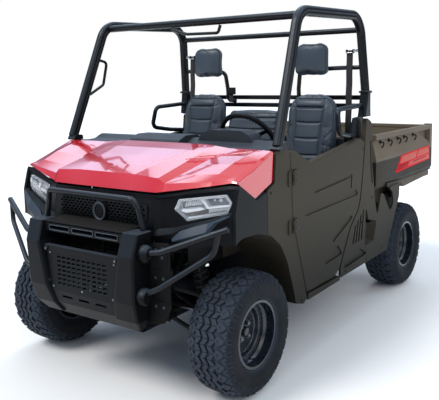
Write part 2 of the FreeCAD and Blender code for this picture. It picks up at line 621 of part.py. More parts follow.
def headlights():
    """One faceted lamp behind each nose opening."""
    face = outline(LAMP_EDGE, "xz", -330).makeOffset2D(-SEAT_GAP)
    body = Part.Face(face).extrude(V(0, 230, 0))
    # The lens lies on a plane that sweeps back with the nose.
    front = [(436, -244, 0), (730, -160, 0), (730, -110, 0), (436, -190, 0)]
    return body.common(prism(front, "xy", 880, 1060))


# Hood sections from the middle outwards: x at the front edge, x at the rear edge, then station and height
# of the outer face from the lip's foot to the rear edge. The middle stands proud between two creases.
HOOD = [
    (0, 0, (-286, 1033), (-258, 1110), (-150, 1138), (-20, 1170), (110, 1198), (240, 1217)),
    (192, 295, (-285, 1033), (-250, 1108), (-150, 1136), (-20, 1168), (110, 1197), (230, 1217)),
    (355, 352, (-279, 1033), (-256, 1100), (-150, 1127), (-20, 1160), (110, 1192), (218, 1214)),
    (385, 456, (-264, 1037), (-246, 1076), (-150, 1104), (-20, 1141), (95, 1175), (203, 1206)),
    (620, 650, (-190, 1072), (-180, 1090), (-130, 1122), (-30, 1160), (80, 1189), (188, 1208)),
    (712, 728, (-150, 1088), (-143, 1098), (-100, 1113), (-20, 1140), (75, 1175), (176, 1207)),
    (737, 745, (-146, 1086), (-141, 1093), (-95, 1104), (-15, 1132), (75, 1168), (171, 1203)),
]


def hood_section(x_front, x_rear, *outer):
    slope = (x_rear - x_front) / (outer[-1][0] - outer[0][0])
    inner = [(y, z - HOOD_T) for y, z in outer[:1:-1]]
    inner += [(outer[1][0] + HOOD_T, outer[1][1] - HOOD_T), (outer[0][0] + HOOD_T, outer[0][1])]
    points = [V(x_front + slope * (y - outer[0][0]), y, z) for y, z in list(outer) + inner]
    return Part.makePolygon(points + points[:1])


def hood():
    """Hood shell with a raised middle, pointed side skirts and its front hinge lugs."""
    shell = loft([hood_section(*row) for row in HOOD])
    foot, lip, front, middle, rear, corner = HOOD[-1][2:]
    skirt = prism([(foot[0], foot[1], 0), (-2, 995, 8), (159, 1054, 8), (corner[0], corner[1] - 3, 0),
                   (rear[0], rear[1] - 4, 0), (middle[0], middle[1] - 4, 0), (front[0], front[1] - 3, 0)],
                  "yz", 731, 745)
    y, z = HOOD_PIVOT.y, HOOD_PIVOT.z
    # A pocket in the lip makes room for the frame's ear; the lug hangs in it from the hood.
    pocket = prism([(y - 9, 1026, 0), (y + 60, 1026, 0), (y + 60, 1088, 0), (y - 2, 1088, 0), (y - 9, z - 2, 0)],
                   "yz", 279, 325)
    lug = prism([(y - 7, z - 7, 6), (y + 8, z - 7, 7), (y + 26, 1102, 0), (y, 1094, 0)], "yz", 296, 304)
    pin = rod(V(280, y, z), V(320, y, z), HOOD_PIN_R + RUN_CLEAR)
    whole = fused([fused([shell, skirt]).cut(pocket), lug]).cut(pin)
    return fused([whole, flipped(whole)])


def radiator():
    """Finned core with tanks, and the brackets that carry the hood's hinge pins."""
    core = block(-235, 235, -250, -222, 560, 846)
    ribs = [block(-225, 225, -256, -250, 585 + 26 * k, 591 + 26 * k) for k in range(10)]
    tanks = [block(side * 250 - 16, side * 250 + 16, -256, -216 - SEAT_GAP, 552, 854) for side in (1, -1)]
    return fused([core] + ribs + tanks)


def hood_brackets():
    """Ears on the front frame that hold the hood's hinge pins."""
    y, z = HOOD_PIVOT.y, HOOD_PIVOT.z
    ear = prism([(y - 6, z - 5, 4), (y - 6, z + 7, 6), (y + 8, z + 8, 5), (y + 36, z + 8, 8), (y + 58, z - 20, 20),
                 (-184, 876, 0), (-216, 876, 0), (y + 34, z - 30, 20), (y + 24, z - 8, 8), (y + 5, z - 8, 4)],
                "yz", 284, 292)
    foot = block(250, 292, -208, -192, 872, 888)
    pin = rod(V(286, y, z), V(312, y, z), HOOD_PIN_R)
    side = fused([ear, foot, pin])
    return [side, flipped(side)]


def guard():
    """Pressed uprights, slotted bar, punched panel and folded nose plate of the front guard."""
    # Upright levels: height, inner x, outer x, front station, back station.
    levels = [(861, 282, 383, -444, -340), (756, 277, 377, NOSE_Y, -345), (529, 238, 370, -470, -350),
              (430, 213, 362, -440, -350), (374, 205, 330, -396, -345)]
    outer = loft([outline(rounded_rect(x0, x1, y0, y1, 12), "xy", z) for z, x0, x1, y0, y1 in levels])
    inner = loft([outline(rounded_rect(x0 + 6, x1 - 6, y0 + 6, y1 + 30, 7), "xy", z + (-6 if z > 800 else 0))
                  for z, x0, x1, y0, y1 in levels])
    upright = outer.cut(inner)
    bar = block(-284, 284, -428, -404, 806, 848)
    slots = [prism(rounded_rect(x - 74, x + 74, 815, 838, 9), "xz", -440, -396) for x in (-168, 0, 168)]
    panel = prism([(-258, 735, 0), (258, 735, 0), (232, 505, 0), (-232, 505, 0)], "xz", -446, -438)
    top_bar = block(-268, 268, -452, -420, 706, 738)
    holes = []
    for row in range(7):
        for column in range(10):
            x, z = (column - 4.5) * 36, 545 + row * 23
            holes.append(block(x - 13, x + 13, -460, -430, z - 6, z + 6))
    panel = panel.cut(Part.makeCompound(holes))
    low = prism([(-446, 507, 0), (-438, 507, 0), (-420, 440, 0), (-362, 366, 0), (-370, 360, 0), (-428, 436, 0)],
                "yz", -235, 235)
    low_slots = [prism(rounded_rect(x - 38, x + 38, 466, 482, 7), "xz", -460, -410) for x in (-120, 0, 120)]
    low = low.cut(fused(low_slots))
    mounts = []
    for side in (1, -1):
        for z, y in ((722, -450), (545, -444)):
            mounts.append(turned([(0, 0, 0), (0, 13, 2), (9, 13, 2), (9, 0, 0)], V(side * 246, y, z), V(0, -1, 0)))
        mounts.append(across(side, RAIL_X - 26, RAIL_X + 26, RAIL_FRONT - 10, RAIL_FRONT - SEAT_GAP, 342, 384))
        mounts.append(across(side, RAIL_X - 5, RAIL_X + 5, -350, RAIL_FRONT - 5, 362, 384))
    web = block(-300, 300, -352, -344, 360, 420)
    return fused([upright, flipped(upright), bar.cut(fused(slots)), panel, top_bar, low, web] + mounts)


def guard_tubes():
    """The hoop over the grille and a two-tube wing at each side."""
    hoop = tube([(340, -356, 864.5), (318, -360, 962), (296, -374, 1010), (-296, -374, 1010), (-318, -360, 962),
                 (-340, -356, 864.5)], BAR_R, 34)
    upper = tube([(381.6, -404, 765), (470, -390, 779), (771, -268, 898)], 15, 120)
    lower = tube([(378.6, -412, 568), (472, -405, 612), (712, -300, 782), (730, -288, 880)], 13, 70)
    return [fused([hoop, upper, lower, flipped(upper), flipped(lower)])]


# Rear quarter: upper pillar panel, then the lower panel round the vents and ahead of the rear tyre.
def quarter():
    """Pillar panel, vented lower panel with its two scoops ahead of the tyre, and the splash wall behind."""
    upper = [(1237, 812, 0), (1261, 923, 300), (1299, 1158, 300), (1318, 1312, 12), (1394, 1282, 24),
             (1406, 1163, 60), (1412, 1000, 200), (1457, 826, 10), (1459, 790, 0), (1240, 790, 0)]
    top_panel = prism(upper, "yz", BODY_HALF - 30, BODY_HALF)
    fold = prism([(1372, 1159, 4), (1388, 909, 4), (1436, 850, 6), (1400, 1000, 100), (1394, 1159, 6)], "yz",
                 BODY_HALF - 6, BODY_HALF + 5)
    lower = shifted(DOOR_REAR[2:][::-1], PANEL_GAP + 2)
    edge = (lower + [(1240, 812, 10), (1459, 815, 6), (1459, 769, 14), (1516, 628, 16), (1574, 776, 14),
                     (1618, 772, 14), (1744, 633, 22), (1829, 655, 60), (1790, 760, 20), (1720, 800, 10),
                     (1930, 806, 12), (1926, 714, 60), (1751, 440, 160), (1697, 357, 20), (940, 352, 10)])
    skin = prism(edge, "yz", BODY_HALF - SHELL_T, BODY_HALF)
    vents = []
    for k in range(4):
        low_y, top_y, top_z = 1106 + 44 * k, 1150 + 40 * k, 636 + 26 * k
        vents.append(prism([(low_y, 524, 5), (low_y + 20, 522, 5), (top_y + 20, top_z + 8, 5), (top_y, top_z, 5)],
                           "yz", BODY_HALF - 20, BODY_HALF + 5))
    skin = skin.cut(fused(vents))
    # The scoop behind the vents: a deep pocket whose floor slopes in towards the vents.
    mouth = [(1319, 742, 8), (1362, 640, 6), (1492, 607, 8), (1499, 588, 8), (1451, 475, 10), (1301, 467, 14)]
    scoop = loft([outline(mouth, "yz", BODY_HALF + 2),
                  outline([(1330, 700, 8), (1356, 630, 6), (1440, 596, 8), (1446, 580, 8), (1405, 500, 10),
                           (1322, 496, 14)], "yz", BODY_HALF - 38)])
    cup = loft([outline(mouth, "yz", BODY_HALF - 2),
                outline([(1322, 712, 8), (1346, 622, 6), (1448, 588, 8), (1456, 574, 8), (1413, 490, 10),
                         (1312, 486, 14)], "yz", BODY_HALF - 44)])
    skin = fused([skin, cup]).cut(scoop)
    step = prism([(976, 437, 6), (1239, 466, 6), (1349, 413, 8), (1000, 396, 6)], "yz",
                 BODY_HALF - SHELL_T - 8, BODY_HALF + 5)
    skin = skin.cut(step)
    step_floor = prism([(970, 443, 6), (1241, 472, 6), (1356, 411, 8), (994, 390, 6)], "yz",
                       BODY_HALF - SHELL_T - 12, BODY_HALF - SHELL_T + 1)
    stay = block(SILL_X + 16 + SEAT_GAP, BODY_HALF - SHELL_T + 2, 1330, 1350, RAIL_Z + 14, RAIL_Z + 30)
    splash = prism([(1500, 790, 6), (1500, 520, 10), (1690, 520, 20), (1760, 650, 20), (1900, 664, 20),
                    (1900, 790, 6)], "yz", 672, 678)
    webs = [block(676, BODY_HALF - 2, y, y + 5, z0, z1) for y, z0, z1 in
            ((1504, 540, 600), (1684, 540, 690), (1880, 700, 780))]
    return fused([top_panel.cut(fold), skin, step_floor, stay, splash] + webs)


def sill():
    """Sill panel under the door."""
    return prism([(518, 336, 8), (924, 340, 0), (934, 366, 6), (520, 372, 8)], "yz", SILL_X + 16 + SEAT_GAP,
                 BODY_HALF)


# ---- cage ----
def cage_point(y, z):
    return (CAGE_FOOT.x - CAGE_LEAN * (z - CAGE_FOOT.z), y, z)


def cage_section(start, heading):
    """Two-lobed tube section: a rounded rectangle with a groove down each broad face."""
    across = V(1, 0, -CAGE_LEAN).normalize()
    deep = heading.cross(across).normalize()
    side = deep.cross(heading).normalize()
    half_d, half_w = CAGE_DEEP / 2, CAGE_WIDE / 2
    corners = [(-half_d, -half_w, 17), (-4, -half_w, 3), (0, -half_w + 4, 3), (4, -half_w, 3),
               (half_d, -half_w, 17), (half_d, half_w, 17), (4, half_w, 3), (0, half_w - 4, 3), (-4, half_w, 3),
               (-half_d, half_w, 17)]
    points = [start + deep * a + side * b for a, b, radius in corners]
    return Part.Wire(joined_edges(corner_arcs(points, [corner[2] for corner in corners], True), True))


def cage_side():
    """One bent tube: pillar, roof rail and rear pillar down to its collar."""
    points = [cage_point(*place) for place in
              ((CAGE_FOOT.y, CAGE_FOOT.z), (487, 1925), (1284, 1953), (1330.6, 1475))]
    path = run(points, 130)
    start, heading = V(*points[0]), V(*points[1]) - V(*points[0])
    side = path.makePipeShell([cage_section(start, heading)], True, False)
    collar = prism([(1300, 1470, 4), (1364, 1470, 4), (1366, 1484, 4), (1299, 1484, 4)], "yz", 706, 768)
    foot = prism([(176, 1206, 8), (262, 1206, 8), (252, 1236, 10), (196, 1236, 10)], "yz", 716, 776)
    return fused([side, collar, foot])


def pillar_base():
    """Pressed foot of the rear pillar that sweeps forward and widens below the collar."""
    # Levels: height, inner x, outer x, front station, back station.
    levels = [(1469.7, 708, 764, 1306, 1362), (1400, 705, 762, 1296, 1366), (1320, 702, 758, 1280, 1384),
              (1311, 668, 704, 1272, 1388), (1190, 664, 704, 1240, 1398), (1100, 664, 702, 1236, 1404)]
    return loft([outline(rounded_rect(x0, x1, y0, y1, 14), "xy", z) for z, x0, x1, y0, y1 in levels])


def cage_crossbars():
    """Bars that join the cage sides, the seat back bars and the head restraint hoops."""
    bars = []
    # Round bars between the roof rails: station, height, radius.
    for y, z, radius in ((515, 1905, 22), (1290, 1866, 18)):
        half = inner_face(z, radius)
        bars.append(tube([(-half, y, z), (half, y, z)], radius))
    base_face = 703.5
    for z in (1440, 1386):
        bars.append(prism(rounded_rect(1342, 1360, z - 15, z + 15, 5), "yz", -base_face, base_face))
    for side in (1, -1):
        bars.append(tube([(side * inner_face(1633, BAR_R), 1318, 1633), (side * 606, 1318, 1633),
                          (side * 545, REST_Y, 1630), (side * 306, REST_Y, 1620), (side * 290, REST_Y + 8, 1500),
                          (side * 290, REST_Y + 12, 1422), (side * 290, 1351, 1414)], BAR_R, 40))
    return fused(bars)


def inner_face(z, radius):
    """Where a bar of this radius meets the leaning inner face of a cage side."""
    return CAGE_FOOT.x - CAGE_LEAN * (z + radius - CAGE_FOOT.z) - CAGE_WIDE / 2 - SEAT_GAP


def grab_handles():
    """Handle under the front bar, handle on the right front pillar and a hip hoop at each side."""
    over = tube([(-179, 515, 1874), (-60, 515, 1840), (170, 515, 1836), (186, 515, 1879.8)], 9, 22)
    pillar = tube([(724, 431.6, 1703), (728, 500, 1690), (737, 470, 1545), (734, 350, 1486)], 9, 26)
    hips = []
    for side in (1, -1):
        hips.append(tube([(side * 724, 1291, 1392), (side * 719, 962, 1378), (side * 739, 938, 1236),
                          (side * 722, 1110, 1208), (side * 684, 1238, 1198)], 15, 42))
    return [over, flipped(pillar)] + hips


# ---- cabin ----
def tub():
    """Floor with its tunnel, toe board, side ledges and the wall behind the seats."""
    top, low = FLOOR_Z + FLOOR_T, FLOOR_Z
    tunnel = [(-700, low, 0), (-TUNNEL_HALF - 4, low, 0), (-TUNNEL_HALF + 14, TUNNEL_TOP - FLOOR_T, 20),
              (TUNNEL_HALF - 14, TUNNEL_TOP - FLOOR_T, 20), (TUNNEL_HALF + 4, low, 0), (700, low, 0),
              (700, top, 0), (TUNNEL_HALF + 12, top, 0), (TUNNEL_HALF - 4, TUNNEL_TOP, 26),
              (-TUNNEL_HALF + 4, TUNNEL_TOP, 26), (-TUNNEL_HALF - 12, top, 0), (-700, top, 0)]
    floor = prism(tunnel, "xz", 530, 1424)
    front = [(max(-606, min(606, x)), z, r) for x, z, r in tunnel]
    toe_floor = prism(front, "xz", 447, 531)
    toe = prism([(284, 1080, 0), (294, 1080, 0), (340, 650, 40), (455, top, 0), (447, low, 0), (330, 645, 40)],
                "yz", -606, 606)
    hole = block(-TUNNEL_HALF, TUNNEL_HALF, 300, 470, 380, 520)
    notch = block(WHEEL_CENTRE.x - 50, WHEEL_CENTRE.x + 50, 240, 360, 960, 1100)
    shaft_hole = block(-TUNNEL_HALF, TUNNEL_HALF, 1390, 1440, 380, 500)
    wall = prism([(1420, low, 0), (1430, low, 0), (1410, 1150, 0), (1400, 1150, 0)], "yz", -600, 600)
    return fused([floor, toe_floor, toe.cut(hole).cut(notch), wall]).cut(shaft_hole)


def seat_base():
    """Moulded box under the cushions with the panel that backs the seats."""
    box = block(-690, 690, 770, 1390, FLOOR_Z + FLOOR_T + SEAT_GAP, SEAT_BOX_TOP)
    room = block(-680, 680, 780, 1400, 300, SEAT_BOX_TOP - 10)
    tunnel = block(-TUNNEL_HALF - 14, TUNNEL_HALF + 14, 700, 800, 300, TUNNEL_TOP + SEAT_GAP)
    box = box.cut(room).cut(tunnel)
    rear = [back_y(z) for z in (690, 1180)]
    panel = prism([(rear[0] + SEAT_GAP, 685, 0), (rear[1] + SEAT_GAP, 1180, 0), (rear[1] + 14, 1180, 0),
                   (rear[0] + 14, 685, 0)], "yz", -645, 645)
    return fused([box, panel])


def back_y(z):
    """Station of the seat backs' rear face at a height."""
    return 1162 + (z - 690) * 0.1


def seats():
    cushions, backs = [], []
    # Seats: centre x, half width, height of the back.
    for x, half, top in ((SEAT_X, 188, 1486), (0, 232, 1382), (-SEAT_X, 188, 1486)):
        pad = prism(rounded_rect(x - half, x + half, SEAT_BOX_TOP + SEAT_GAP, CUSHION_TOP, 30), "xz", 700, 1150)
        cushions.append(pad.common(prism([(700, 690, 20), (700, 800, 40), (1156, 780, 10), (1156, 690, 10)],
                                         "yz", x - 300, x + 300)))
        side = prism([(back_y(812) - 128, 812, 20), (back_y(1000) - 142, 1000, 200), (back_y(1250) - 138, 1250, 200),
                      (back_y(top) - 84, top, 40), (back_y(top), top, 26), (back_y(812), 812, 10)],
                     "yz", x - 300, x + 300)
        front = prism([(x - half, 812, 24), (x - half, top - 120, 90), (x - half * 0.78, top, 70),
                       (x + half * 0.78, top, 70), (x + half, top - 120, 90), (x + half, 812, 24)],
                      "xz", 900, 1500)
        backs.append(side.common(front))
    save("seat_cushions", *cushions)
    save("seat_backs", *backs)
    rests = []
    for side in (1, -1):
        x = side * 418
        rest = prism([(x - 126, 1577, 32), (x - 118, 1806, 48), (x + 118, 1806, 48), (x + 126, 1577, 32)],
                     "xz", REST_Y - 90, REST_Y - BAR_R - SEAT_GAP)
        rests.append(rest)
    save("head_restraints", *rests)


def belts():
    """Lap and shoulder webbing as thin straps, with their reels on the pillars."""
    pieces = []
    for side in (1, -1):
        pieces.append(prism([(1301, 1727.7, 0), (1304, 1727.7, 0), (1284, 1209.7, 0), (1281, 1209.7, 0)], "yz",
                            side * BELT_X - 22, side * BELT_X + 22))
        pieces.append(across(side, BELT_X - 26, inner_face(1752, 0) - 1, 1292, 1312, 1728, 1752))
        pieces.append(across(side, BELT_X - 22, 664 - SEAT_GAP, 1258, 1300, 1146, 1209.4))
    return pieces


def dash():
    """Full-width instrument panel with a raised binnacle, a bin and the column's bore."""
    face = 222 + FRAME_R + SEAT_GAP
    body = prism([(face, 1204, 6), (330, 1208, 60), (392, 1236, 60), (462, 1228, 30), (496, 1150, 40),
                  (462, 1000, 40), (390, 946, 30), (330, 960, 10), (306, 1085, 0),
                  (face, 1085, 0)], "yz", -690 + SEAT_GAP, 690 - SEAT_GAP)
    hood_y = (360, 478)
    binnacle = prism([(120, 1216, 0), (150, 1264, 40), (210, 1286, 60), (420, 1286, 60), (470, 1264, 40),
                      (500, 1216, 0)], "xz", *hood_y)
    hump = prism([(250, 1190, 0), (268, 1226, 20), (330, 1250, 40), (440, 1250, 40), (478, 1216, 20), (478, 1180, 0)],
                 "yz", -316, 60)
    body = fused([body, hump])
    column = rod(WHEEL_CENTRE - column_heading() * 420, WHEEL_CENTRE + column_heading() * 100, 27)
    bin_room = prism(rounded_rect(-560, -250, 1050, 1150, 20), "xz", 420, 600)
    shelf = prism(rounded_rect(-200, 60, 1040, 1120, 16), "xz", 440, 600)
    return fused([body, binnacle]).cut(column).cut(bin_room).cut(shelf)


def column_heading():
    tilt = math.radians(COLUMN_TILT)
    return V(0, math.cos(tilt), math.sin(tilt))


def steering_column():
    heading = column_heading()
    top = WHEEL_CENTRE - heading * (44 + SEAT_GAP)
    low = WHEEL_CENTRE - heading * 330
    column = rod(low, top, 22)
    joint = Part.makeSphere(24, low)
    # The lower shaft runs down to the rack's pinion housing.
    pinion = V(215, -STEER_ARM, RACK_Z + 22)
    knee_at = V(330, 150, 930)
    shaft = rod(low, knee_at, 9)
    lower = rod(knee_at, pinion, 9)
    knee = Part.makeSphere(13, knee_at)
    housing = rod(V(-222, -STEER_ARM, RACK_Z), V(222, -STEER_ARM, RACK_Z), 18.5)
    pinion_case = rod(pinion - V(0, 0, 20), pinion + V(0, 0, 12), 24)
    bore = rod(V(-240, -STEER_ARM, RACK_Z), V(240, -STEER_ARM, RACK_Z), 11)
    feet = []
    for side in (1, -1):
        feet.append(across(side, 200, RAIL_X - RAIL_W / 2 - SEAT_GAP, -STEER_ARM - 12, -STEER_ARM + 12,
                           RAIL_Z + 12, RAIL_Z + 24))
        feet.append(across(side, 200, 212, -STEER_ARM - 12, -STEER_ARM + 12, RAIL_Z + 12, RACK_Z - 12))
    return fused([column, joint, shaft, lower, knee, housing, pinion_case] + feet).cut(bore)


def steering_rack():
    """Rack bar with the tie rods, whose eyes lie over the steering arms."""
    reach = KINGPIN_X - 8
    bar = rod(V(-reach, -STEER_ARM, RACK_Z), V(reach, -STEER_ARM, RACK_Z), 10)
    eyes = [turned([(0, 0, 0), (0, 16, 3), (25, 16, 3), (25, 0, 0)],
                   V(side * reach, -STEER_ARM, RACK_Z - 14), V(0, 0, 1)) for side in (1, -1)]
    return fused([bar] + eyes)


def steering_wheel():
    heading = column_heading()
    turn = FreeCAD.Placement(WHEEL_CENTRE, FreeCAD.Rotation(V(0, 0, 1), heading))
    rim = Part.makeTorus(WHEEL_RIM_R, 14)
    hub = Part.makeCone(30, 52, 44, V(0, 0, -44))
    spokes = []
    for angle in (-25, 205, 90):
        spoke = prism([(-13, 30, 0), (13, 30, 0), (10, WHEEL_RIM_R - 4, 0), (-10, WHEEL_RIM_R - 4, 0)],
                      "xy", -14, -4)
        spoke.rotate(V(0, 0, 0), V(0, 0, 1), angle - 90)
        spokes.append(spoke)
    whole = fused([rim, hub] + spokes)
    whole.Placement = turn
    return whole


# ---- bed ----
def bed():
    """Cargo box: ribbed floor, creased side walls, front wall, rear posts, skirts and hinge lugs."""
    floor_top = BED_BASE + BED_FLOOR_T
    inner = BED_HALF - BED_WALL
    # Side wall section: x, height, radius.
    wall = prism([(BED_HALF - 12, BED_BASE + 8, 6), (BED_HALF, BED_BASE + 32, 6), (BED_HALF, 1015, 8),
                  (BED_HALF - 28, 1136, 8), (BED_HALF, 1150, 4), (BED_HALF, BED_TOP, 6), (inner + 6, BED_TOP, 6),
                  (inner, BED_TOP - 16, 6), (inner, BED_BASE + 8, 0)], "xz", BED_FRONT, BED_REAR)
    wall = wall.cut(prism([(2418, 1138, 4), (2636, 1048, 6), (2640, 1138, 4)], "yz", BED_HALF - 40, BED_HALF + 5))
    post = block(inner, BED_HALF, BED_REAR - 56, BED_REAR, BED_BASE + 32, BED_TOP + 7)
    skirt = prism([(2082, 800, 6), (2140, 742, 20), (2600, 757, 10), (TAIL_Y - LENS_T, 757, 6),
                   (TAIL_Y - LENS_T, 796, 6), (2700, 822, 0), (2090, 822, 0)], "yz", 660, 706)
    skirt = skirt.cut(prism([(2110, 796, 0), (2150, 752, 10), (2600, 766, 0), (2690, 766, 0), (2690, 806, 0)],
                            "yz", 668, 698))
    sides = [wall, post, skirt]
    floor = block(-BED_HALF + 10, BED_HALF - 10, BED_FRONT, BED_REAR, BED_BASE, floor_top - 6)
    ribs = [block(x - 30, x + 30, BED_FRONT + 40, BED_REAR - 44, floor_top - 8, floor_top)
            for x in range(-600, 601, 120)]
    front = block(-inner - 4, inner + 4, BED_FRONT, BED_FRONT + 34, BED_BASE + 8, BED_TOP - 20)
    front = front.cut(fused([prism(rounded_rect(x - 130, x + 130, 900, 1110, 24), "xz", BED_FRONT - 5,
                                   BED_FRONT + 12) for x in (-340, 0, 340)]))
    lugs = []
    for x in (300, 360):
        lugs.append(prism([(BED_PIVOT.y - 40, BED_BASE + 4, 0), (BED_PIVOT.y - 26, BED_PIVOT.z - 24, 14),
                           (BED_PIVOT.y + 26, BED_PIVOT.z - 24, 14), (BED_PIVOT.y + 40, BED_BASE + 4, 0)],
                          "yz", x - 6, x + 6))
    whole = fused([floor, front] + ribs + sides + [flipped(shape) for shape in sides]
                  + lugs + [flipped(lug) for lug in lugs] + [strut_bracket()])
    pivot = rod(BED_PIVOT - V(400, 0, 0), BED_PIVOT + V(400, 0, 0), BED_PIVOT_R + RUN_CLEAR)
    pins = rod(GATE_PIVOT - V(710, 0, 0), GATE_PIVOT + V(710, 0, 0), GATE_PIN_R + RUN_CLEAR)
    gate_room = block(-inner + 1, inner - 1, 2660, 2710, floor_top, BED_TOP + 20)
    return whole.cut(pivot).cut(pins.cut(gate_room))


def tailgate():
    """Gate between the posts with pressed panels, a top lip and its two hinge pins."""
    half = BED_HALF - BED_WALL - PANEL_GAP
    front, back = BED_REAR - 2 - GATE_T, BED_REAR - 2
    gate = prism([(front, GATE_PIVOT.z - 6, 0), (back, GATE_PIVOT.z - 6, 4), (back, BED_TOP - 2, 6),
                  (front - 4, BED_TOP - 2, 6), (front - 4, BED_TOP - 26, 4), (front, BED_TOP - 34, 0)],
                 "yz", -half, half)
    recess = [prism(rounded_rect(x - 190, x + 190, 910, 1110, 26), "xz", back - 9, back + 5)
              for x in (-440, 0, 440)]
    pins = [rod(V(side * (half - 4), GATE_PIVOT.y, GATE_PIVOT.z), V(side * 704, GATE_PIVOT.y, GATE_PIVOT.z),
                GATE_PIN_R) for side in (1, -1)]
    return fused([gate.cut(fused(recess))] + pins)


def tail_light():
    """Lens on the end of a bed skirt."""
    return prism(rounded_rect(664, 702, 761, 792, 8), "xz", TAIL_Y - LENS_T + SEAT_GAP, TAIL_Y)


# ---- bed strut: barrel on the frame, rod on the bed ----
def strut_bracket():
    """Fork under the bed floor that holds the strut's eye."""
    ears = [prism([(STRUT_EYE.y - 18, STRUT_EYE.z - 14, 12), (STRUT_EYE.y + 18, STRUT_EYE.z - 14, 12),
                   (STRUT_EYE.y + 30, BED_BASE + 4, 0), (STRUT_EYE.y - 30, BED_BASE + 4, 0)],
                  "yz", STRUT_X + offset, STRUT_X + offset + 6) for offset in (-19.3, 13.3)]
    return fused(ears)


def bed_strut():
    heading = (STRUT_EYE - STRUT_FOOT).normalize()
    length = (STRUT_EYE - STRUT_FOOT).Length
    barrel = turned([(20, 0, 0), (20, 19, 3), (length * 0.74, 19, 3), (length * 0.74, 9.05, 0), (40, 9.05, 0),
                     (40, 0, 0)], STRUT_FOOT, heading)
    eye = rod(STRUT_FOOT - V(13, 0, 0), STRUT_FOOT + V(13, 0, 0), 16)
    hole = rod(STRUT_FOOT - V(20, 0, 0), STRUT_FOOT + V(20, 0, 0), 7)
    neck = rod(STRUT_FOOT + heading * 12, STRUT_FOOT + heading * 24, 10)
    save("bed_strut_barrel", fused([barrel, eye, neck]).cut(hole))
    bar = rod(STRUT_FOOT + heading * 60, STRUT_EYE - heading * 10, 9)
    rod_eye = rod(STRUT_EYE - V(13, 0, 0), STRUT_EYE + V(13, 0, 0), 14)
    save("bed_strut_rod", fused([bar, rod_eye]))


def strut_foot():
    """Clevis on the frame for the barrel's eye."""
    ears = [block(STRUT_X + offset, STRUT_X + offset + 6, STRUT_FOOT.y - 18, STRUT_FOOT.y + 18,
                  RAIL_Z + RAIL_H - 10, STRUT_FOOT.z + 18) for offset in (-28, 22)]
    pin = rod(STRUT_FOOT - V(24, 0, 0), STRUT_FOOT + V(24, 0, 0), 7 - RUN_CLEAR)
    foot = block(STRUT_X - 28, RAIL_X, STRUT_FOOT.y - 18, STRUT_FOOT.y + 18, RAIL_Z + 20, RAIL_Z + 38)
    return fused(ears + [pin, foot])


def main():
    running_gear()
    drive_line()
    engine()
    save("main_frame", fused([frame(), strut_foot()] + hood_brackets()))
    save("skid_plate", skid_plate())
    save("front_fascia", fascia())
    save("grille_panel", grille())
    save("headlights", pair(headlights()))
    save("front_guard", guard())
    save("guard_tubes", *guard_tubes())
    save("radiator", radiator())
    save("hood", hood())
    save("front_fenders", pair(fused([front_fender(), hinge_leaves()])))
    save("sill_panels", pair(sill()))
    save("left_door", door())
    save("right_door", flipped(door()))
    save("rear_quarter_panels", pair(quarter()))
    save("cage_sides", pair(cage_side()))
    save("rear_pillar_bases", pair(pillar_base()))
    save("cage_crossbars", cage_crossbars())
    save("grab_handles", *grab_handles())
    save("floor_tub", tub())
    save("seat_base", seat_base())
    seats()
    save("seat_belts", *belts())
    save("dash", dash())
    save("steering_column", steering_column())
    save("steering_rack", steering_rack())
    save("steering_wheel", steering_wheel())
    save("bed_box", bed())
    save("tailgate", tailgate())
    save("tail_lights", pair(tail_light()))
    bed_strut()


main()
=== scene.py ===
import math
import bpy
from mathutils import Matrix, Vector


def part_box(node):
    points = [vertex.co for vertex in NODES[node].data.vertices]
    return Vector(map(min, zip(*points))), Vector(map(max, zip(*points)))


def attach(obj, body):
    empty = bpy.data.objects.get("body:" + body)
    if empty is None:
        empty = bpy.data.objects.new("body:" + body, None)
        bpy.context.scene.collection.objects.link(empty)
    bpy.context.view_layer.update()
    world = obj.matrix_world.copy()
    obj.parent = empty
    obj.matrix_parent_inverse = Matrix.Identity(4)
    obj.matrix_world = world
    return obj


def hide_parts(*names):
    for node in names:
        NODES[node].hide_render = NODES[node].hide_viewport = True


bl_info = {
    "name": "Side by Side Utility Vehicle Looks",
    "version": (1, 0, 0),
    "blender": (4, 5, 0),
    "location": "3D View > Sidebar > Utility Vehicle",
    "description": "Tyres, lamps, seats, trim and finishes for a three-seat side by side utility vehicle",
    "category": "Add Mesh",
}

import bmesh
import bpy
import numpy as np
from bpy.props import FloatProperty, FloatVectorProperty, IntProperty, PointerProperty
from mathutils import Matrix, Vector
from mathutils.bvhtree import BVHTree
from mathutils.geometry import tessellate_polygon

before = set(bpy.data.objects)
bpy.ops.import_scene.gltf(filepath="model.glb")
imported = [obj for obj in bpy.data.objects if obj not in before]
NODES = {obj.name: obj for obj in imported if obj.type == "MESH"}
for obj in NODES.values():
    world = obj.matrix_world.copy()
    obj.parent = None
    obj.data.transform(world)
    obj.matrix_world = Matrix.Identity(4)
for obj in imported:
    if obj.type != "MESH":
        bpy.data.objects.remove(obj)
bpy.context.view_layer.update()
AXLE = -1.134                      # the front axle's place along the frame
SIDES = (("left", 1), ("right", -1))


# ---------------------------------------------------------------- shader values

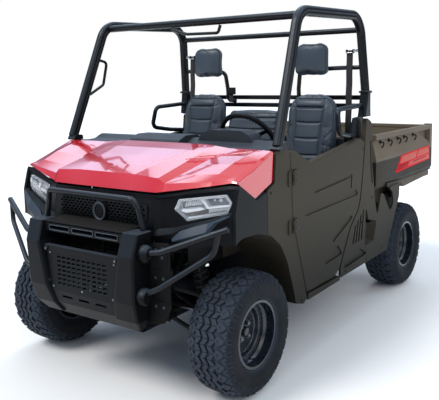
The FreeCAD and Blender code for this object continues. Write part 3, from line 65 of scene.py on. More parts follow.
class Number:
    """A socket that carries a number; arithmetic on it adds Math nodes."""

    def __init__(self, tree, socket):
        self.tree, self.socket = tree, socket

    def maths(self, operation, *terms, clamp=False):
        node = self.tree.nodes.new("ShaderNodeMath")
        node.operation, node.use_clamp = operation, clamp
        for place, term in enumerate(terms):
            if isinstance(term, Number):
                self.tree.links.new(term.socket, node.inputs[place])
            else:
                node.inputs[place].default_value = term
        return Number(self.tree, node.outputs[0])

    def __add__(self, other):
        return self.maths("ADD", self, other)

    def __sub__(self, other):
        return self.maths("SUBTRACT", self, other)

    def __rsub__(self, other):
        return self.maths("SUBTRACT", other, self)

    def __mul__(self, other):
        return self.maths("MULTIPLY", self, other)

    def __abs__(self):
        return self.maths("ABSOLUTE", self)

    __radd__, __rmul__ = __add__, __mul__

    def held(self):
        """The number kept from 0 to 1."""
        return self.maths("ADD", self, 0.0, clamp=True)

    def sine(self):
        return self.maths("SINE", self)

    def step(self, low, high):
        """0 below low and 1 above high, with a smooth turn between them."""
        node = self.tree.nodes.new("ShaderNodeMapRange")
        node.interpolation_type = "SMOOTHSTEP"
        self.tree.links.new(self.socket, node.inputs["Value"])
        node.inputs["From Min"].default_value = low
        node.inputs["From Max"].default_value = high
        return Number(self.tree, node.outputs["Result"])


class Nodes:
    """Adds nodes to one tree."""

    def __init__(self, tree):
        self.tree = tree
        self.tree.nodes.clear()

    def add(self, kind, settings=None, **sockets):
        """A node of that kind: settings first, then its sockets by name, with _ for a space, or by number as n0."""
        node = self.tree.nodes.new(kind)
        for label, value in (settings or {}).items():
            if label == "stops":
                self.fill_ramp(node.color_ramp, value)
            else:
                setattr(node, label, value)
        for label, value in sockets.items():
            socket = node.inputs[int(label[1:])] if label[1:].isdigit() else node.inputs[label.replace("_", " ")]
            self.feed(socket, value)
        return node

    def number(self, socket):
        return Number(self.tree, socket)

    def parts(self, vector):
        """The three parts of a vector as numbers."""
        return [self.number(socket) for socket in self.add("ShaderNodeSeparateXYZ", Vector=vector).outputs]

    def feed(self, socket, value):
        if isinstance(value, Number):
            value = value.socket
        if isinstance(value, bpy.types.NodeSocket):
            self.tree.links.new(value, socket)
        else:
            socket.default_value = value

    @staticmethod
    def fill_ramp(ramp, stops):
        while len(ramp.elements) < len(stops):
            ramp.elements.new(0.5)
        for element, (position, shade) in zip(ramp.elements, stops):
            element.position, element.color = position, (*shade, 1.0)


class Finish(Nodes):
    """A procedural material with one principled shader."""

    def __init__(self, name, **constants):
        self.material = bpy.data.materials.new(name)
        self.material.use_nodes = True
        super().__init__(self.material.node_tree)
        self.shader = self.add("ShaderNodeBsdfPrincipled")
        self.add("ShaderNodeOutputMaterial", Surface=self.shader.outputs["BSDF"])
        for label, value in constants.items():
            self.shader.inputs[label.replace("_", " ").title().replace("Ior", "IOR")].default_value = value
        self.place = self.add("ShaderNodeTexCoord").outputs["Object"]

    def noise(self, scale, detail=3.0, roughness=0.55, stretch=None):
        """Noise from 0 to 1 in object space; scale is in cycles for each metre."""
        place = self.place
        if stretch is not None:
            place = self.add("ShaderNodeMapping", Vector=place, Scale=stretch).outputs[0]
        node = self.add("ShaderNodeTexNoise", Vector=place, Scale=scale, Detail=detail, Roughness=roughness)
        return self.number(node.outputs["Fac"])

    def cells(self, scale):
        """Distance from the middle of the nearest cell; scale is in cells for each metre."""
        return self.number(self.add("ShaderNodeTexVoronoi", Vector=self.place, Scale=scale).outputs["Distance"])

    def axes(self):
        """The three object coordinates as numbers."""
        return self.parts(self.place)

    def facing(self):
        """The three parts of the surface's direction as numbers."""
        return self.parts(self.add("ShaderNodeNewGeometry").outputs["Normal"])

    def mixed(self, share, first, second):
        """A colour between two others."""
        node = self.add("ShaderNodeMix", {"data_type": "RGBA"}, n0=share)
        for place, value in ((6, first), (7, second)):
            self.feed(node.inputs[place], (*value, 1.0) if isinstance(value, (tuple, list)) else value)
        return node.outputs[2]

    def bump(self, height, depth, strength=1.0, under=None):
        sockets = {"Height": height, "Distance": depth, "Strength": strength}
        if under is not None:
            sockets["Normal"] = under
        return self.add("ShaderNodeBump", **sockets).outputs[0]

    def coat(self, colour, roughness=None, normal=None):
        """Feed the shader's varying sockets."""
        for label, value in (("Base Color", colour), ("Roughness", roughness), ("Normal", normal)):
            if value is not None:
                self.feed(self.shader.inputs[label], value)


# ---------------------------------------------------------------- finishes

def shade(colour, factor):
    """The colour made darker or lighter."""
    return tuple(min(1.0, channel * factor) for channel in colour)


def painted_red(name, colour, roughness=0.2):
    """Gloss automotive red with a clear coat and a faint orange peel."""
    finish = Finish(name, coat_weight=1.0, coat_roughness=0.05, coat_ior=1.75)
    drift = finish.noise(2.2, 2.0)
    peel = finish.noise(420.0, 1.0)
    dust = finish.noise(9.0, 5.0, 0.7).step(0.56, 0.82)
    finish.coat(colour=finish.mixed(drift, shade(colour, 0.9), shade(colour, 1.06)),
                roughness=roughness + 0.12 * dust,
                normal=finish.bump(peel, 0.00025, 0.35))


def matt_film(name, colour):
    """Printed vinyl film: flat colour with a little fading and fine grain."""
    finish = Finish(name, specular_ior_level=0.12)
    fading = finish.noise(18.0, 4.0, 0.6)
    grain = finish.noise(900.0, 2.0)
    finish.coat(colour=finish.mixed(fading, shade(colour, 0.86), shade(colour, 1.12)),
                roughness=0.5 + 0.1 * fading, normal=finish.bump(grain, 0.0001, 0.3))


def moulded_plastic(name, colour, dust_and_painted_light, roughness=0.56, grain=1500.0, depth=0.00022, cloud=0.5, gloss=0.13):
    """Textured moulded plastic: leather-like pebbles; what faces up turns towards a second colour, which is dust on
    some plastics and a painted blue sky sheen on others; and darker towards the bottom, a painted shade.
    """
    finish = Finish(name, specular_ior_level=gloss)
    pebbles = finish.cells(grain) + 0.5 * finish.noise(grain * 1.6, 2.0)
    drift = finish.noise(3.0, 4.0, 0.6)
    # What faces up takes the second colour: real dust on the panels and soft black, a painted sky sheen on the
    # blue-tinted nose, cheek and dash plastics.
    up = finish.facing()[2].step(0.35, 1.0)
    settled = (up * 0.5 + drift.step(0.45, 0.75) * cloud).held() * 0.6
    # Painted shade: towards the bottom the colour falls to under a fifth of itself.
    base = finish.mixed(finish.axes()[2].step(0.30, 0.98), shade(colour, 0.18), colour)
    finish.coat(colour=finish.mixed(settled, base, dust_and_painted_light),
                roughness=roughness + 0.10 * drift - 0.05,
                normal=finish.bump(pebbles, depth, 0.7))


def powder_coat(name, colour, roughness=0.36, grime=0.35, sky_sheen=(0.030, 0.038, 0.050), gloss=0.22):
    """Satin black powder coat on steel: fine orange peel, dull patches, and a painted cool sky highlight on what
    faces up.
    """
    finish = Finish(name, specular_ior_level=gloss)
    drift = finish.noise(5.0, 4.0, 0.6)
    peel = finish.noise(900.0, 2.0)
    dull = drift.step(0.5, 0.8) * grime
    # Painted highlight: what faces up turns towards the last, blue colour, which stands in for the sky's light on it.
    up = finish.facing()[2].step(-0.05, 0.95)
    finish.coat(colour=finish.mixed((up * (0.7 + 0.3 * drift)).held(), colour, sky_sheen),
                roughness=roughness + 0.22 * dull, normal=finish.bump(peel, 0.00018, 0.5))


def tyre_rubber(name, colour, dust_and_painted_light):
    """Rubber in two tones by facing: a blue-grey that paints the sky's reflection, turning near-black on what faces
    sideways, a painted shade, with some random patches.
    """
    finish = Finish(name, specular_ior_level=0.12)
    drift = finish.noise(14.0, 5.0, 0.65)
    fine = finish.noise(700.0, 3.0, 0.7)
    # Painted shade: what faces sideways turns to the darker second colour.
    out = abs(finish.facing()[0]).step(0.55, 0.95)
    settled = (drift.step(0.35, 0.8) * 0.2 + out * 0.8).held()
    finish.coat(colour=finish.mixed(settled, colour, dust_and_painted_light), roughness=0.56 + 0.22 * drift,
                normal=finish.bump(fine, 0.0003, 0.5))


def vinyl(name, colour, roughness=0.42):
    """Seat vinyl with a fine leather grain and shallow creases."""
    finish = Finish(name, specular_ior_level=0.45)
    grain = finish.cells(620.0) * 0.8 + finish.noise(1500.0, 2.0) * 0.4
    creases = finish.noise(26.0, 3.0, 0.5)
    drift = finish.noise(6.0, 3.0)
    soft = finish.bump(creases, 0.0012, 0.25)
    finish.coat(colour=finish.mixed(drift, shade(colour, 0.8), shade(colour, 1.35)),
                roughness=roughness + 0.12 * drift, normal=finish.bump(grain, 0.00025, 0.6, soft))


def woven_webbing(name, colour):
    """Belt webbing: a close diagonal weave across the strap, darker in its hollows and lighter on its raised threads,
    a painted shade and highlight.
    """
    finish = Finish(name, specular_ior_level=0.3, sheen_weight=0.3, sheen_roughness=0.5)
    along, across = finish.axes()[2], finish.axes()[0] + finish.axes()[1]
    weave = ((across * 1900.0 + along * 1100.0).sine() * (across * 1900.0 - along * 1100.0).sine()) * 0.5 + 0.5
    # Painted shade and highlight: the colour follows the weave's height.
    finish.coat(colour=finish.mixed(weave, shade(colour, 0.6), shade(colour, 1.5)), roughness=0.72,
                normal=finish.bump(weave, 0.0004, 0.8))


def gloss_steel(name, colour, roughness=0.3):
    """Glossy painted steel under a thin clear coat, with a little dust."""
    finish = Finish(name, coat_weight=0.35, coat_roughness=0.22)
    dust = finish.noise(30.0, 5.0, 0.7).step(0.45, 0.85)
    peel = finish.noise(500.0, 2.0)
    finish.coat(colour=finish.mixed(dust * 0.3, colour, shade(colour, 1.8)),
                roughness=roughness + 0.10 * dust, normal=finish.bump(peel, 0.0002, 0.4))


def cast_metal(name, colour):
    """Sand-cast alloy: a rough skin with darker pores and oil staining."""
    finish = Finish(name, metallic=0.85)
    skin = finish.noise(420.0, 4.0, 0.7)
    stain = finish.noise(12.0, 4.0, 0.6).step(0.45, 0.75)
    finish.coat(colour=finish.mixed(stain, colour, shade(colour, 0.35)), roughness=0.42 + 0.25 * skin,
                normal=finish.bump(skin, 0.0005, 0.6))


def plated_steel(name, colour, roughness=0.24):
    """Zinc-plated steel with drawing marks along its length."""
    finish = Finish(name, metallic=1.0)
    marks = finish.noise(300.0, 2.0, stretch=(1.0, 0.15, 1.0))
    stain = finish.noise(25.0, 4.0).step(0.5, 0.8)
    finish.coat(colour=finish.mixed(stain, colour, shade(colour, 0.55)), roughness=roughness + 0.2 * stain,
                normal=finish.bump(marks, 0.0001, 0.4))


def clear_lens(name):
    """Clear polycarbonate over a lamp: mostly see-through, with a gloss skin."""
    finish = Finish(name, roughness=0.04, transmission_weight=0.96, ior=1.3)
    haze = finish.noise(60.0, 3.0)
    finish.coat(colour=finish.mixed(haze, (0.93, 0.93, 0.93), (1.0, 1.0, 1.0)), roughness=0.03 + 0.05 * haze)


def chrome(name, colour):
    """Vapour-plated lamp bowl, only partly metallic, so its pale colour is bright from every side: a painted
    reflection.
    """
    finish = Finish(name, metallic=0.45, specular_ior_level=0.9)
    haze = finish.noise(90.0, 3.0)
    finish.coat(colour=finish.mixed(haze, shade(colour, 0.85), colour), roughness=0.08 + 0.12 * haze)


def red_lens(name, colour):
    """Ribbed red lens over a rear lamp, darker in the troughs of its ribs: a painted shade."""
    finish = Finish(name, coat_weight=1.0, coat_roughness=0.04)
    ribs = (finish.axes()[2] * 900.0).sine() * 0.5 + 0.5
    # Painted shade: the colour follows the ribs' height, darker in their troughs.
    finish.coat(colour=finish.mixed(ribs, shade(colour, 0.45), colour), roughness=0.18,
                normal=finish.bump(ribs, 0.0006, 0.6))


def bed_plastic(name, colour, dust_and_painted_light):
    """Moulded bed shell: a coarse stipple, scuffed where loads rub, and darker low on the outer walls, a painted
    shade.
    """
    finish = Finish(name, specular_ior_level=0.14)
    stipple = finish.cells(900.0) + 0.6 * finish.noise(2000.0, 2.0)
    scuffs = finish.noise(60.0, 6.0, 0.75, stretch=(1.0, 0.12, 1.0)).step(0.58, 0.78)
    drift = finish.noise(2.5, 4.0, 0.6).step(0.3, 0.8)
    x, _, z = finish.axes()
    # Painted shade: the outer walls below the fold take a fifth of the colour.
    low_wall_shade = abs(x).step(0.700, 0.716) * (1.0 - z.step(0.990, 1.004))
    base = finish.mixed(low_wall_shade, colour, shade(colour, 0.2))
    finish.coat(colour=finish.mixed((scuffs * 0.16 + drift * 0.15).held(), base, dust_and_painted_light),
                roughness=0.5 + 0.16 * drift, normal=finish.bump(stipple, 0.00026, 0.7))


# ---------------------------------------------------------------- sizes and colours

def length_input(name, description, default, low, high=1000.0):
    return FloatProperty(name=name, description=description, default=default, min=low, max=high, unit="LENGTH")


def factor_input(name, description, default, low=0.0):
    return FloatProperty(name=name, description=description, default=default, min=low, max=1.0, subtype="FACTOR")


def colour_input(name, description, default):
    return FloatVectorProperty(name=name, description=description, default=default, min=0.0, max=1.0, subtype="COLOR")


class TyreSizes(bpy.types.PropertyGroup):
    pitches: IntProperty(name="Tread pitches", description="Repeats of the tread pattern round a tyre",
                         default=30, min=12, max=60)
    groove: length_input("Groove depth", "Depth of the tread grooves at the crown", 0.0105, 0.004, 0.016)
    rib_width: length_input("Rib width", "Width of one zig-zag rib", 0.025, 0.01, 0.04)
    sway: length_input("Rib sway", "How far a rib swings to each side", 0.0085, 0.0, 0.02)


class Colours(bpy.types.PropertyGroup):
    body_red: colour_input("Body red", "Hood paint", (0.62, 0.006, 0.018))
    panel: colour_input("Panel", "Doors, fenders and quarter panels", (0.0480, 0.0415, 0.0290))
    bed: colour_input("Bed", "Cargo bed shell", (0.150, 0.122, 0.088))
    nose: colour_input("Nose", "Front fascia", (0.0035, 0.0042, 0.0055))
    dust: colour_input("Dust", "Dust that settles on the panels", (0.062, 0.053, 0.040))


class SeatSizes(bpy.types.PropertyGroup):
    swell: length_input("Swell", "Furthest that a seat's cover moves as it fills", 0.012, 0.0, 0.03)
    fill: factor_input("Fill", "How tight the pads are filled", 0.75)
    keep: factor_input("Mesh kept", "Share of a pad's faces that is kept", 0.5, 0.1)


class StageSizes(bpy.types.PropertyGroup):
    floor: length_input("Floor", "Side of the floor", 60.0, 10.0)
    sky: FloatProperty(name="Sky strength", description="Brightness of the studio's surroundings", default=1.0,
                       min=0.0)


# ---------------------------------------------------------------- mesh helpers

def finish_of(name):
    """The material of that name."""
    return bpy.data.materials[name]


def linked(name, data, finishes=()):
    """An object of that data, in the scene and in those finishes."""
    for finish in finishes:
        data.materials.append(finish)
    thing = bpy.data.objects.new(name, data)
    bpy.context.scene.collection.objects.link(thing)
    return thing


def mesh_object(name, points, faces, finish=None):
    """An object from points and faces."""
    mesh = bpy.data.meshes.new(name)
    mesh.from_pydata([tuple(point) for point in points], [], faces)
    return linked(name, mesh, [finish_of(finish)] if finish else ())


def tidied(thing, merge=1e-5, sharp=None):
    """Merge doubles, face outwards and mark edges sharper than that many degrees."""
    work = bmesh.new()
    work.from_mesh(thing.data)
    bmesh.ops.remove_doubles(work, verts=work.verts, dist=merge)
    bmesh.ops.recalc_face_normals(work, faces=work.faces)
    for edge in work.edges:
        if sharp is not None and len(edge.link_faces) == 2:
            edge.smooth = edge.calc_face_angle(0.0) < math.radians(sharp)
    if sharp is not None:
        for face in work.faces:
            face.smooth = True
    work.to_mesh(thing.data)
    work.free()
    return thing


def joined(name, things):
    """One object from several, which keeps each one's finish."""
    work = bmesh.new()
    finishes = []
    for thing in things:
        slots = []
        for finish in thing.data.materials:
            if finish not in finishes:
                finishes.append(finish)
            slots.append(finishes.index(finish))
        start = len(work.faces)
        work.from_mesh(thing.data)
        work.faces.ensure_lookup_table()
        for face in work.faces[start:]:
            face.material_index = slots[face.material_index] if slots else 0
    mesh = bpy.data.meshes.new(name)
    work.to_mesh(mesh)
    work.free()
    for thing in things:
        old = thing.data
        bpy.data.objects.remove(thing)
        bpy.data.meshes.remove(old)
    return linked(name, mesh, finishes)


def turned(name, profile, finish, segments=48, closed=True, heading=(1, 0, 0), foot=(0, 0, 0), sharp=35):
    """A profile of (along, radius) turned about the line from foot along heading."""
    points, faces = [], []
    across = Vector(heading).normalized()
    turn = across.to_track_quat("X", "Z").to_matrix()
    for step in range(segments):
        angle = 2 * math.pi * step / segments
        for along, radius in profile:
            points.append(Vector(foot) + turn @ Vector((along, radius * math.cos(angle), radius * math.sin(angle))))
    count = len(profile)
    for step in range(segments):
        here, ahead = step * count, (step + 1) % segments * count
        for place in range(count if closed else count - 1):
            after = (place + 1) % count
            faces.append((here + place, here + after, ahead + after, ahead + place))
    return tidied(mesh_object(name, points, faces, finish), sharp=sharp)


def mirrored(thing, name):
    """A copy across the middle plane, with its outside kept outside."""
    work = bmesh.new()
    work.from_mesh(thing.data)
    for vert in work.verts:
        vert.co.x = -vert.co.x
    bmesh.ops.reverse_faces(work, faces=work.faces)
    mesh = bpy.data.meshes.new(name)
    work.to_mesh(mesh)
    work.free()
    return linked(name, mesh, thing.data.materials)


def evaluated(thing, name):
    """The thing with its modifiers carried out, as a plain mesh object in its place."""
    mesh = bpy.data.meshes.new_from_object(thing.evaluated_get(bpy.context.evaluated_depsgraph_get()))
    finishes = [] if mesh.materials else [slot.material for slot in thing.material_slots]
    bpy.data.objects.remove(thing)
    mesh.name = name
    return linked(name, mesh, finishes)


# ---------------------------------------------------------------- repeats

class Repeat(Nodes):
    """A geometry node tree with named inputs, carried out once."""

    def __init__(self, name):
        super().__init__(bpy.data.node_groups.new(name, "GeometryNodeTree"))
        for way in ("INPUT", "OUTPUT"):
            self.tree.interface.new_socket("Geometry", in_out=way, socket_type="NodeSocketGeometry")
        self.inputs = {}
        self.entry, self.exit = self.add("NodeGroupInput"), self.add("NodeGroupOutput")

    def ask(self, label, kind, default=None):
        """A named input of the tree; returns its socket."""
        item = self.tree.interface.new_socket(label, in_out="INPUT", socket_type=kind)
        if default is not None:
            item.default_value = default
        self.inputs[label] = item.identifier
        return self.entry.outputs[label]

    def copies(self, points, item, **sockets):
        """Copies of the item on the points."""
        source = self.add("GeometryNodeObjectInfo", n0=item)
        return self.add("GeometryNodeInstanceOnPoints", Points=points, Instance=source.outputs["Geometry"],
                        **sockets).outputs[0]

    def end(self, geometry, finish):
        real = self.add("GeometryNodeRealizeInstances", Geometry=geometry)
        dressed = self.add("GeometryNodeSetMaterial", Geometry=real.outputs[0], Material=finish)
        self.tree.links.new(dressed.outputs[0], self.exit.inputs[0])

    def run(self, name, base, **values):
        """The tree carried out on base, as a plain mesh object. The tree and the item it copies are removed."""
        modifier = base.modifiers.new(self.tree.name, "NODES")
        modifier.node_group = self.tree
        for label, value in values.items():
            modifier[self.inputs[label]] = value
        made = evaluated(base, name)
        if "Item" in values:
            bpy.data.objects.remove(values["Item"])
        bpy.data.node_groups.remove(self.tree)
        return made


def ring_of(name, item, count, centre=(0, 0, 0)):
    """Copies of item, evenly round the X axis through centre."""
    tree = Repeat("Ring")
    thing, number = tree.ask("Item", "NodeSocketObject"), tree.ask("Count", "NodeSocketInt", 4)
    line = tree.add("GeometryNodeMeshLine", {"mode": "OFFSET"}, Count=number, Offset=(0, 0, 0))
    index = tree.add("GeometryNodeInputIndex").outputs[0]
    share = tree.add("ShaderNodeMath", {"operation": "DIVIDE"}, n0=index, n1=number)
    turn = tree.add("ShaderNodeMath", {"operation": "MULTIPLY"}, n0=share.outputs[0], n1=2 * math.pi)
    spin = tree.add("ShaderNodeCombineXYZ", X=turn.outputs[0])
    tree.end(tree.copies(line.outputs[0], thing, Rotation=spin.outputs[0]), item.data.materials[0])
    made = tree.run(name, mesh_object(name + ".base", [(0, 0, 0)], []), Item=item, Count=count)
    made.data.transform(Matrix.Translation(centre))
    return made


def spotted(name, item, spots, size=1.0, loose=0.0):
    """Copies of item at spots, each a (place, outward direction), with item's X axis along the direction.
    Each copy turns about it by up to loose radians, as chance has it."""
    tree = Repeat("Spots")
    thing, scale = tree.ask("Item", "NodeSocketObject"), tree.ask("Size", "NodeSocketFloat", 1.0)
    heading = tree.add("GeometryNodeInputNamedAttribute", {"data_type": "FLOAT_VECTOR"}, Name="heading")
    turn = tree.add("FunctionNodeAlignRotationToVector", {"axis": "X"}, Vector=heading.outputs[0])
    chance = tree.add("FunctionNodeRandomValue", {"data_type": "FLOAT"}, Seed=7)
    chance.inputs[3].default_value = loose
    spin = tree.add("ShaderNodeCombineXYZ", X=chance.outputs[1])
    both = tree.add("FunctionNodeRotateRotation", {"rotation_space": "LOCAL"}, Rotation=turn.outputs[0],
                    n1=spin.outputs[0])
    tree.end(tree.copies(tree.entry.outputs[0], thing, Rotation=both.outputs[0], Scale=scale), item.data.materials[0])
    base = mesh_object(name + ".base", [place for place, _ in spots], [])
    heads = base.data.attributes.new("heading", "FLOAT_VECTOR", "POINT")
    heads.data.foreach_set("vector", [c for _, way in spots for c in Vector(way).normalized()])
    return tree.run(name, base, Item=item, Size=size)


def wire(name, points, radius, finish, sides=8, closed=False):
    """A round cord, pipe or spring that follows the points."""
    tree = Repeat("Wire")
    thick, count = tree.ask("Radius", "NodeSocketFloat", 0.003), tree.ask("Sides", "NodeSocketInt", 8)
    line = tree.add("GeometryNodeMeshToCurve", Mesh=tree.entry.outputs[0])
    ring = tree.add("GeometryNodeCurvePrimitiveCircle", Resolution=count, Radius=thick)
    skin = tree.add("GeometryNodeCurveToMesh", Curve=line.outputs[0], Profile_Curve=ring.outputs[0], Fill_Caps=True)
    smooth = tree.add("GeometryNodeSetShadeSmooth", Geometry=skin.outputs[0])
    tree.end(smooth.outputs[0], finish_of(finish))
    base = mesh_object(name + ".base", points, [])
    edges = [(k, k + 1) for k in range(len(points) - 1)] + ([(len(points) - 1, 0)] if closed else [])
    base.data.edges.add(len(edges))
    base.data.edges.foreach_set("vertices", [end for edge in edges for end in edge])
    base.data.update()
    return tree.run(name, base, Radius=radius, Sides=sides)


def bend(corner, back, ahead, reach, steps):
    """Places on a smooth bend round the corner, which takes up less than half of either side."""
    reach = min(reach, back.length * 0.49, ahead.length * 0.49)
    start, end = corner + back.normalized() * reach, corner + ahead.normalized() * reach
    for step in range(steps + 1):
        share = step / steps
        yield start * (1 - share) ** 2 + corner * 2 * share * (1 - share) + end * share ** 2


def rounded(points, reach, steps=6):
    """The points with each inner corner turned into a bend of that reach."""
    path = [Vector(points[0])]
    for before, corner, after in zip(points, points[1:], points[2:]):
        corner = Vector(corner)
        path += bend(corner, Vector(before) - corner, Vector(after) - corner, reach, steps)
    path.append(Vector(points[-1]))
    return path


def slab(name, outline, low, high, axis, finish, bevel):
    """A flat block with eased edges: an outline in the two other axes, drawn along axis from low to high."""
    order = {"x": (2, 0, 1), "y": (0, 2, 1), "z": (0, 1, 2)}[axis]
    points = [[(*corner, level)[place] for place in order] for level in (low, high) for corner in outline]
    count = len(outline)
    faces = [tuple(range(count)), tuple(range(count, 2 * count))]
    faces += [(k, (k + 1) % count, count + (k + 1) % count, count + k) for k in range(count)]
    thing = tidied(mesh_object(name, points, faces, finish), 1e-6)
    if bevel:
        edge = thing.modifiers.new("edge", "BEVEL")
        edge.width, edge.segments, edge.limit_method = bevel, 2, "ANGLE"
        thing = evaluated(thing, name)
    return tidied(thing, 1e-6, 40)


def round_corners(corners, steps=4):
    """A flat outline from (a, b, radius) corners."""
    path = []
    for place, (a, b, radius) in enumerate(corners):
        corner = Vector((a, b))
        back = Vector(corners[place - 1][:2]) - corner
        ahead = Vector(corners[(place + 1) % len(corners)][:2]) - corner
        if radius <= 0:
            path.append((a, b))
            continue
        reach = radius / math.tan(back.angle(ahead) / 2)
        path += [tuple(spot) for spot in bend(corner, back, ahead, reach, steps)]
    return path


def oblong(a0, b0, a1, b1, radius):
    """Four (a, b, radius) corners."""
    return [(a0, b0, radius), (a1, b0, radius), (a1, b1, radius), (a0, b1, radius)]


# ---------------------------------------------------------------- padded pieces

def per_vertex(mesh, kind="co"):
    """The places of the mesh's vertices, or their normals, one to a row."""
    flat = np.empty(len(mesh.vertices) * 3, dtype=np.float32)
    mesh.vertices.foreach_get(kind, flat)
    return flat.reshape(-1, 3)


def form(name, columns, rows, front, back):
    """A closed form between two grids, each a function of (u, v) from 0 to 1."""
    points = [side(i / columns, j / rows) for side in (front, back) for j in range(rows + 1)
              for i in range(columns + 1)]
    wide = columns + 1
    layer = wide * (rows + 1)
    faces = []
    for j in range(rows):
        for i in range(columns):
            a = j * wide + i
            faces.append((a, a + 1, a + wide + 1, a + wide))
            faces.append((layer + a, layer + a + wide, layer + a + wide + 1, layer + a + 1))
    rim = (list(range(wide)) + [j * wide + columns for j in range(1, rows + 1)]
           + [rows * wide + i for i in range(columns - 1, -1, -1)] + [j * wide for j in range(rows - 1, 0, -1)])
    for a, b in zip(rim, rim[1:] + rim[:1]):
        faces.append((a, layer + a, layer + b, b))
    return tidied(mesh_object(name, points, faces), 1e-6)


def stuffed(thing, finish, cap, voxel=0.006, pressure=4.0, frames=20):
    """The form as a filled cover: an even skin swelled from inside, no point of it by more than cap."""
    name, scene = thing.name, bpy.context.scene
    skin = thing.modifiers.new("skin", "REMESH")
    skin.mode, skin.voxel_size = "VOXEL", voxel
    ease = thing.modifiers.new("ease", "SMOOTH")
    ease.factor, ease.iterations = 0.5, 5
    thing = evaluated(thing, name)
    rest = per_vertex(thing.data)
    cloth = thing.modifiers.new("stuffing", "CLOTH")
    cloth.settings.quality = 4
    cloth.settings.use_pressure = True
    cloth.settings.uniform_pressure_force = pressure
    cloth.settings.effector_weights.gravity = 0.0
    cloth.collision_settings.use_collision = False
    cloth.point_cache.frame_start, cloth.point_cache.frame_end = 1, frames
    for step in range(1, frames + 1):
        scene.frame_set(step)
    full = per_vertex(thing.evaluated_get(bpy.context.evaluated_depsgraph_get()).data)
    thing.modifiers.remove(cloth)
    scene.frame_set(1)
    move = full - rest
    far = np.linalg.norm(move, axis=1, keepdims=True)
    settled = rest + move * np.minimum(1.0, cap / np.maximum(far, 1e-9))
    thing.data.vertices.foreach_set("co", settled.astype(np.float32).ravel())
    thing.data.update()
    calm = thing.modifiers.new("calm", "SMOOTH")
    calm.factor, calm.iterations = 0.5, 3
    finer = thing.modifiers.new("finer", "SUBSURF")
    finer.levels = finer.render_levels = 1
    thing = evaluated(thing, name)
    thing.data.materials.append(finish_of(finish))
    return thing


def off_line(places, line):
    """Distance of each flat place from a broken line."""
    best = np.full(len(places), 1e9)
    for start, end in zip(line, line[1:]):
        a, b = np.array(start), np.array(end)
        along = np.clip(((places - a) @ (b - a)) / max(float((b - a) @ (b - a)), 1e-12), 0, 1)
        best = np.minimum(best, np.linalg.norm(places - a - along[:, None] * (b - a), axis=1))
    return best


def sewn(thing, facing, flat, lines, keep):
    """Pull a padded piece in along its sewn lines, each (line, depth, width), where it faces that way.
    The lines lie in the two flat axes, and keep is the share of its faces that stays."""
    mesh = thing.data
    spots, normals = (per_vertex(mesh, kind).astype(float) for kind in ("co", "normal"))
    shown = np.clip((normals @ np.array(facing)) * 2.0, 0, 1)
    places = spots[:, flat]
    pull = np.zeros(len(spots))
    for line, depth, width in lines:
        pull = np.maximum(pull, depth * np.exp(-(off_line(places, line) / width) ** 2))
    spots -= np.array(facing)[None, :] * (pull * shown)[:, None]
    mesh.vertices.foreach_set("co", spots.astype(np.float32).ravel())
    mesh.update()
    if keep < 1:
        lean = thing.modifiers.new("lean", "DECIMATE")
        lean.ratio = keep
        thing = evaluated(thing, thing.name)
    mesh = thing.data
    mesh.polygons.foreach_set("use_smooth", [True] * len(mesh.polygons))
    return thing


def laid_on(thing, line, facing, flat, lift):
    """The flat line laid on the side of the thing that faces that way, and raised by the lift."""
    tree = BVHTree.FromObject(thing, bpy.context.evaluated_depsgraph_get())
    way = Vector(facing)
    path = []
    for spot in line:
        start = Vector((0, 0, 0))
        start[flat[0]], start[flat[1]] = spot
        rest = 3 - flat[0] - flat[1]
        start[rest] = 5.0 * way[rest]
        hit = tree.ray_cast(start, -way)[0]
        if hit is not None:
            path.append(hit + way * lift)
    return path


def divided(line, step=0.008):
    """The broken line with points no further apart than step."""
    path = [tuple(line[0])]
    for start, end in zip(line, line[1:]):
        count = max(1, math.ceil(math.dist(start, end) / step))
        path += [tuple(a + (b - a) * k / count for a, b in zip(start, end)) for k in range(1, count + 1)]
    return path


# ---------------------------------------------------------------- seats

def back_plane(z):
    """Place along the vehicle of a seat back's rear face at that height."""
    return (1162 + (z * 1000 - 690) * 0.1) / 1000 + AXLE


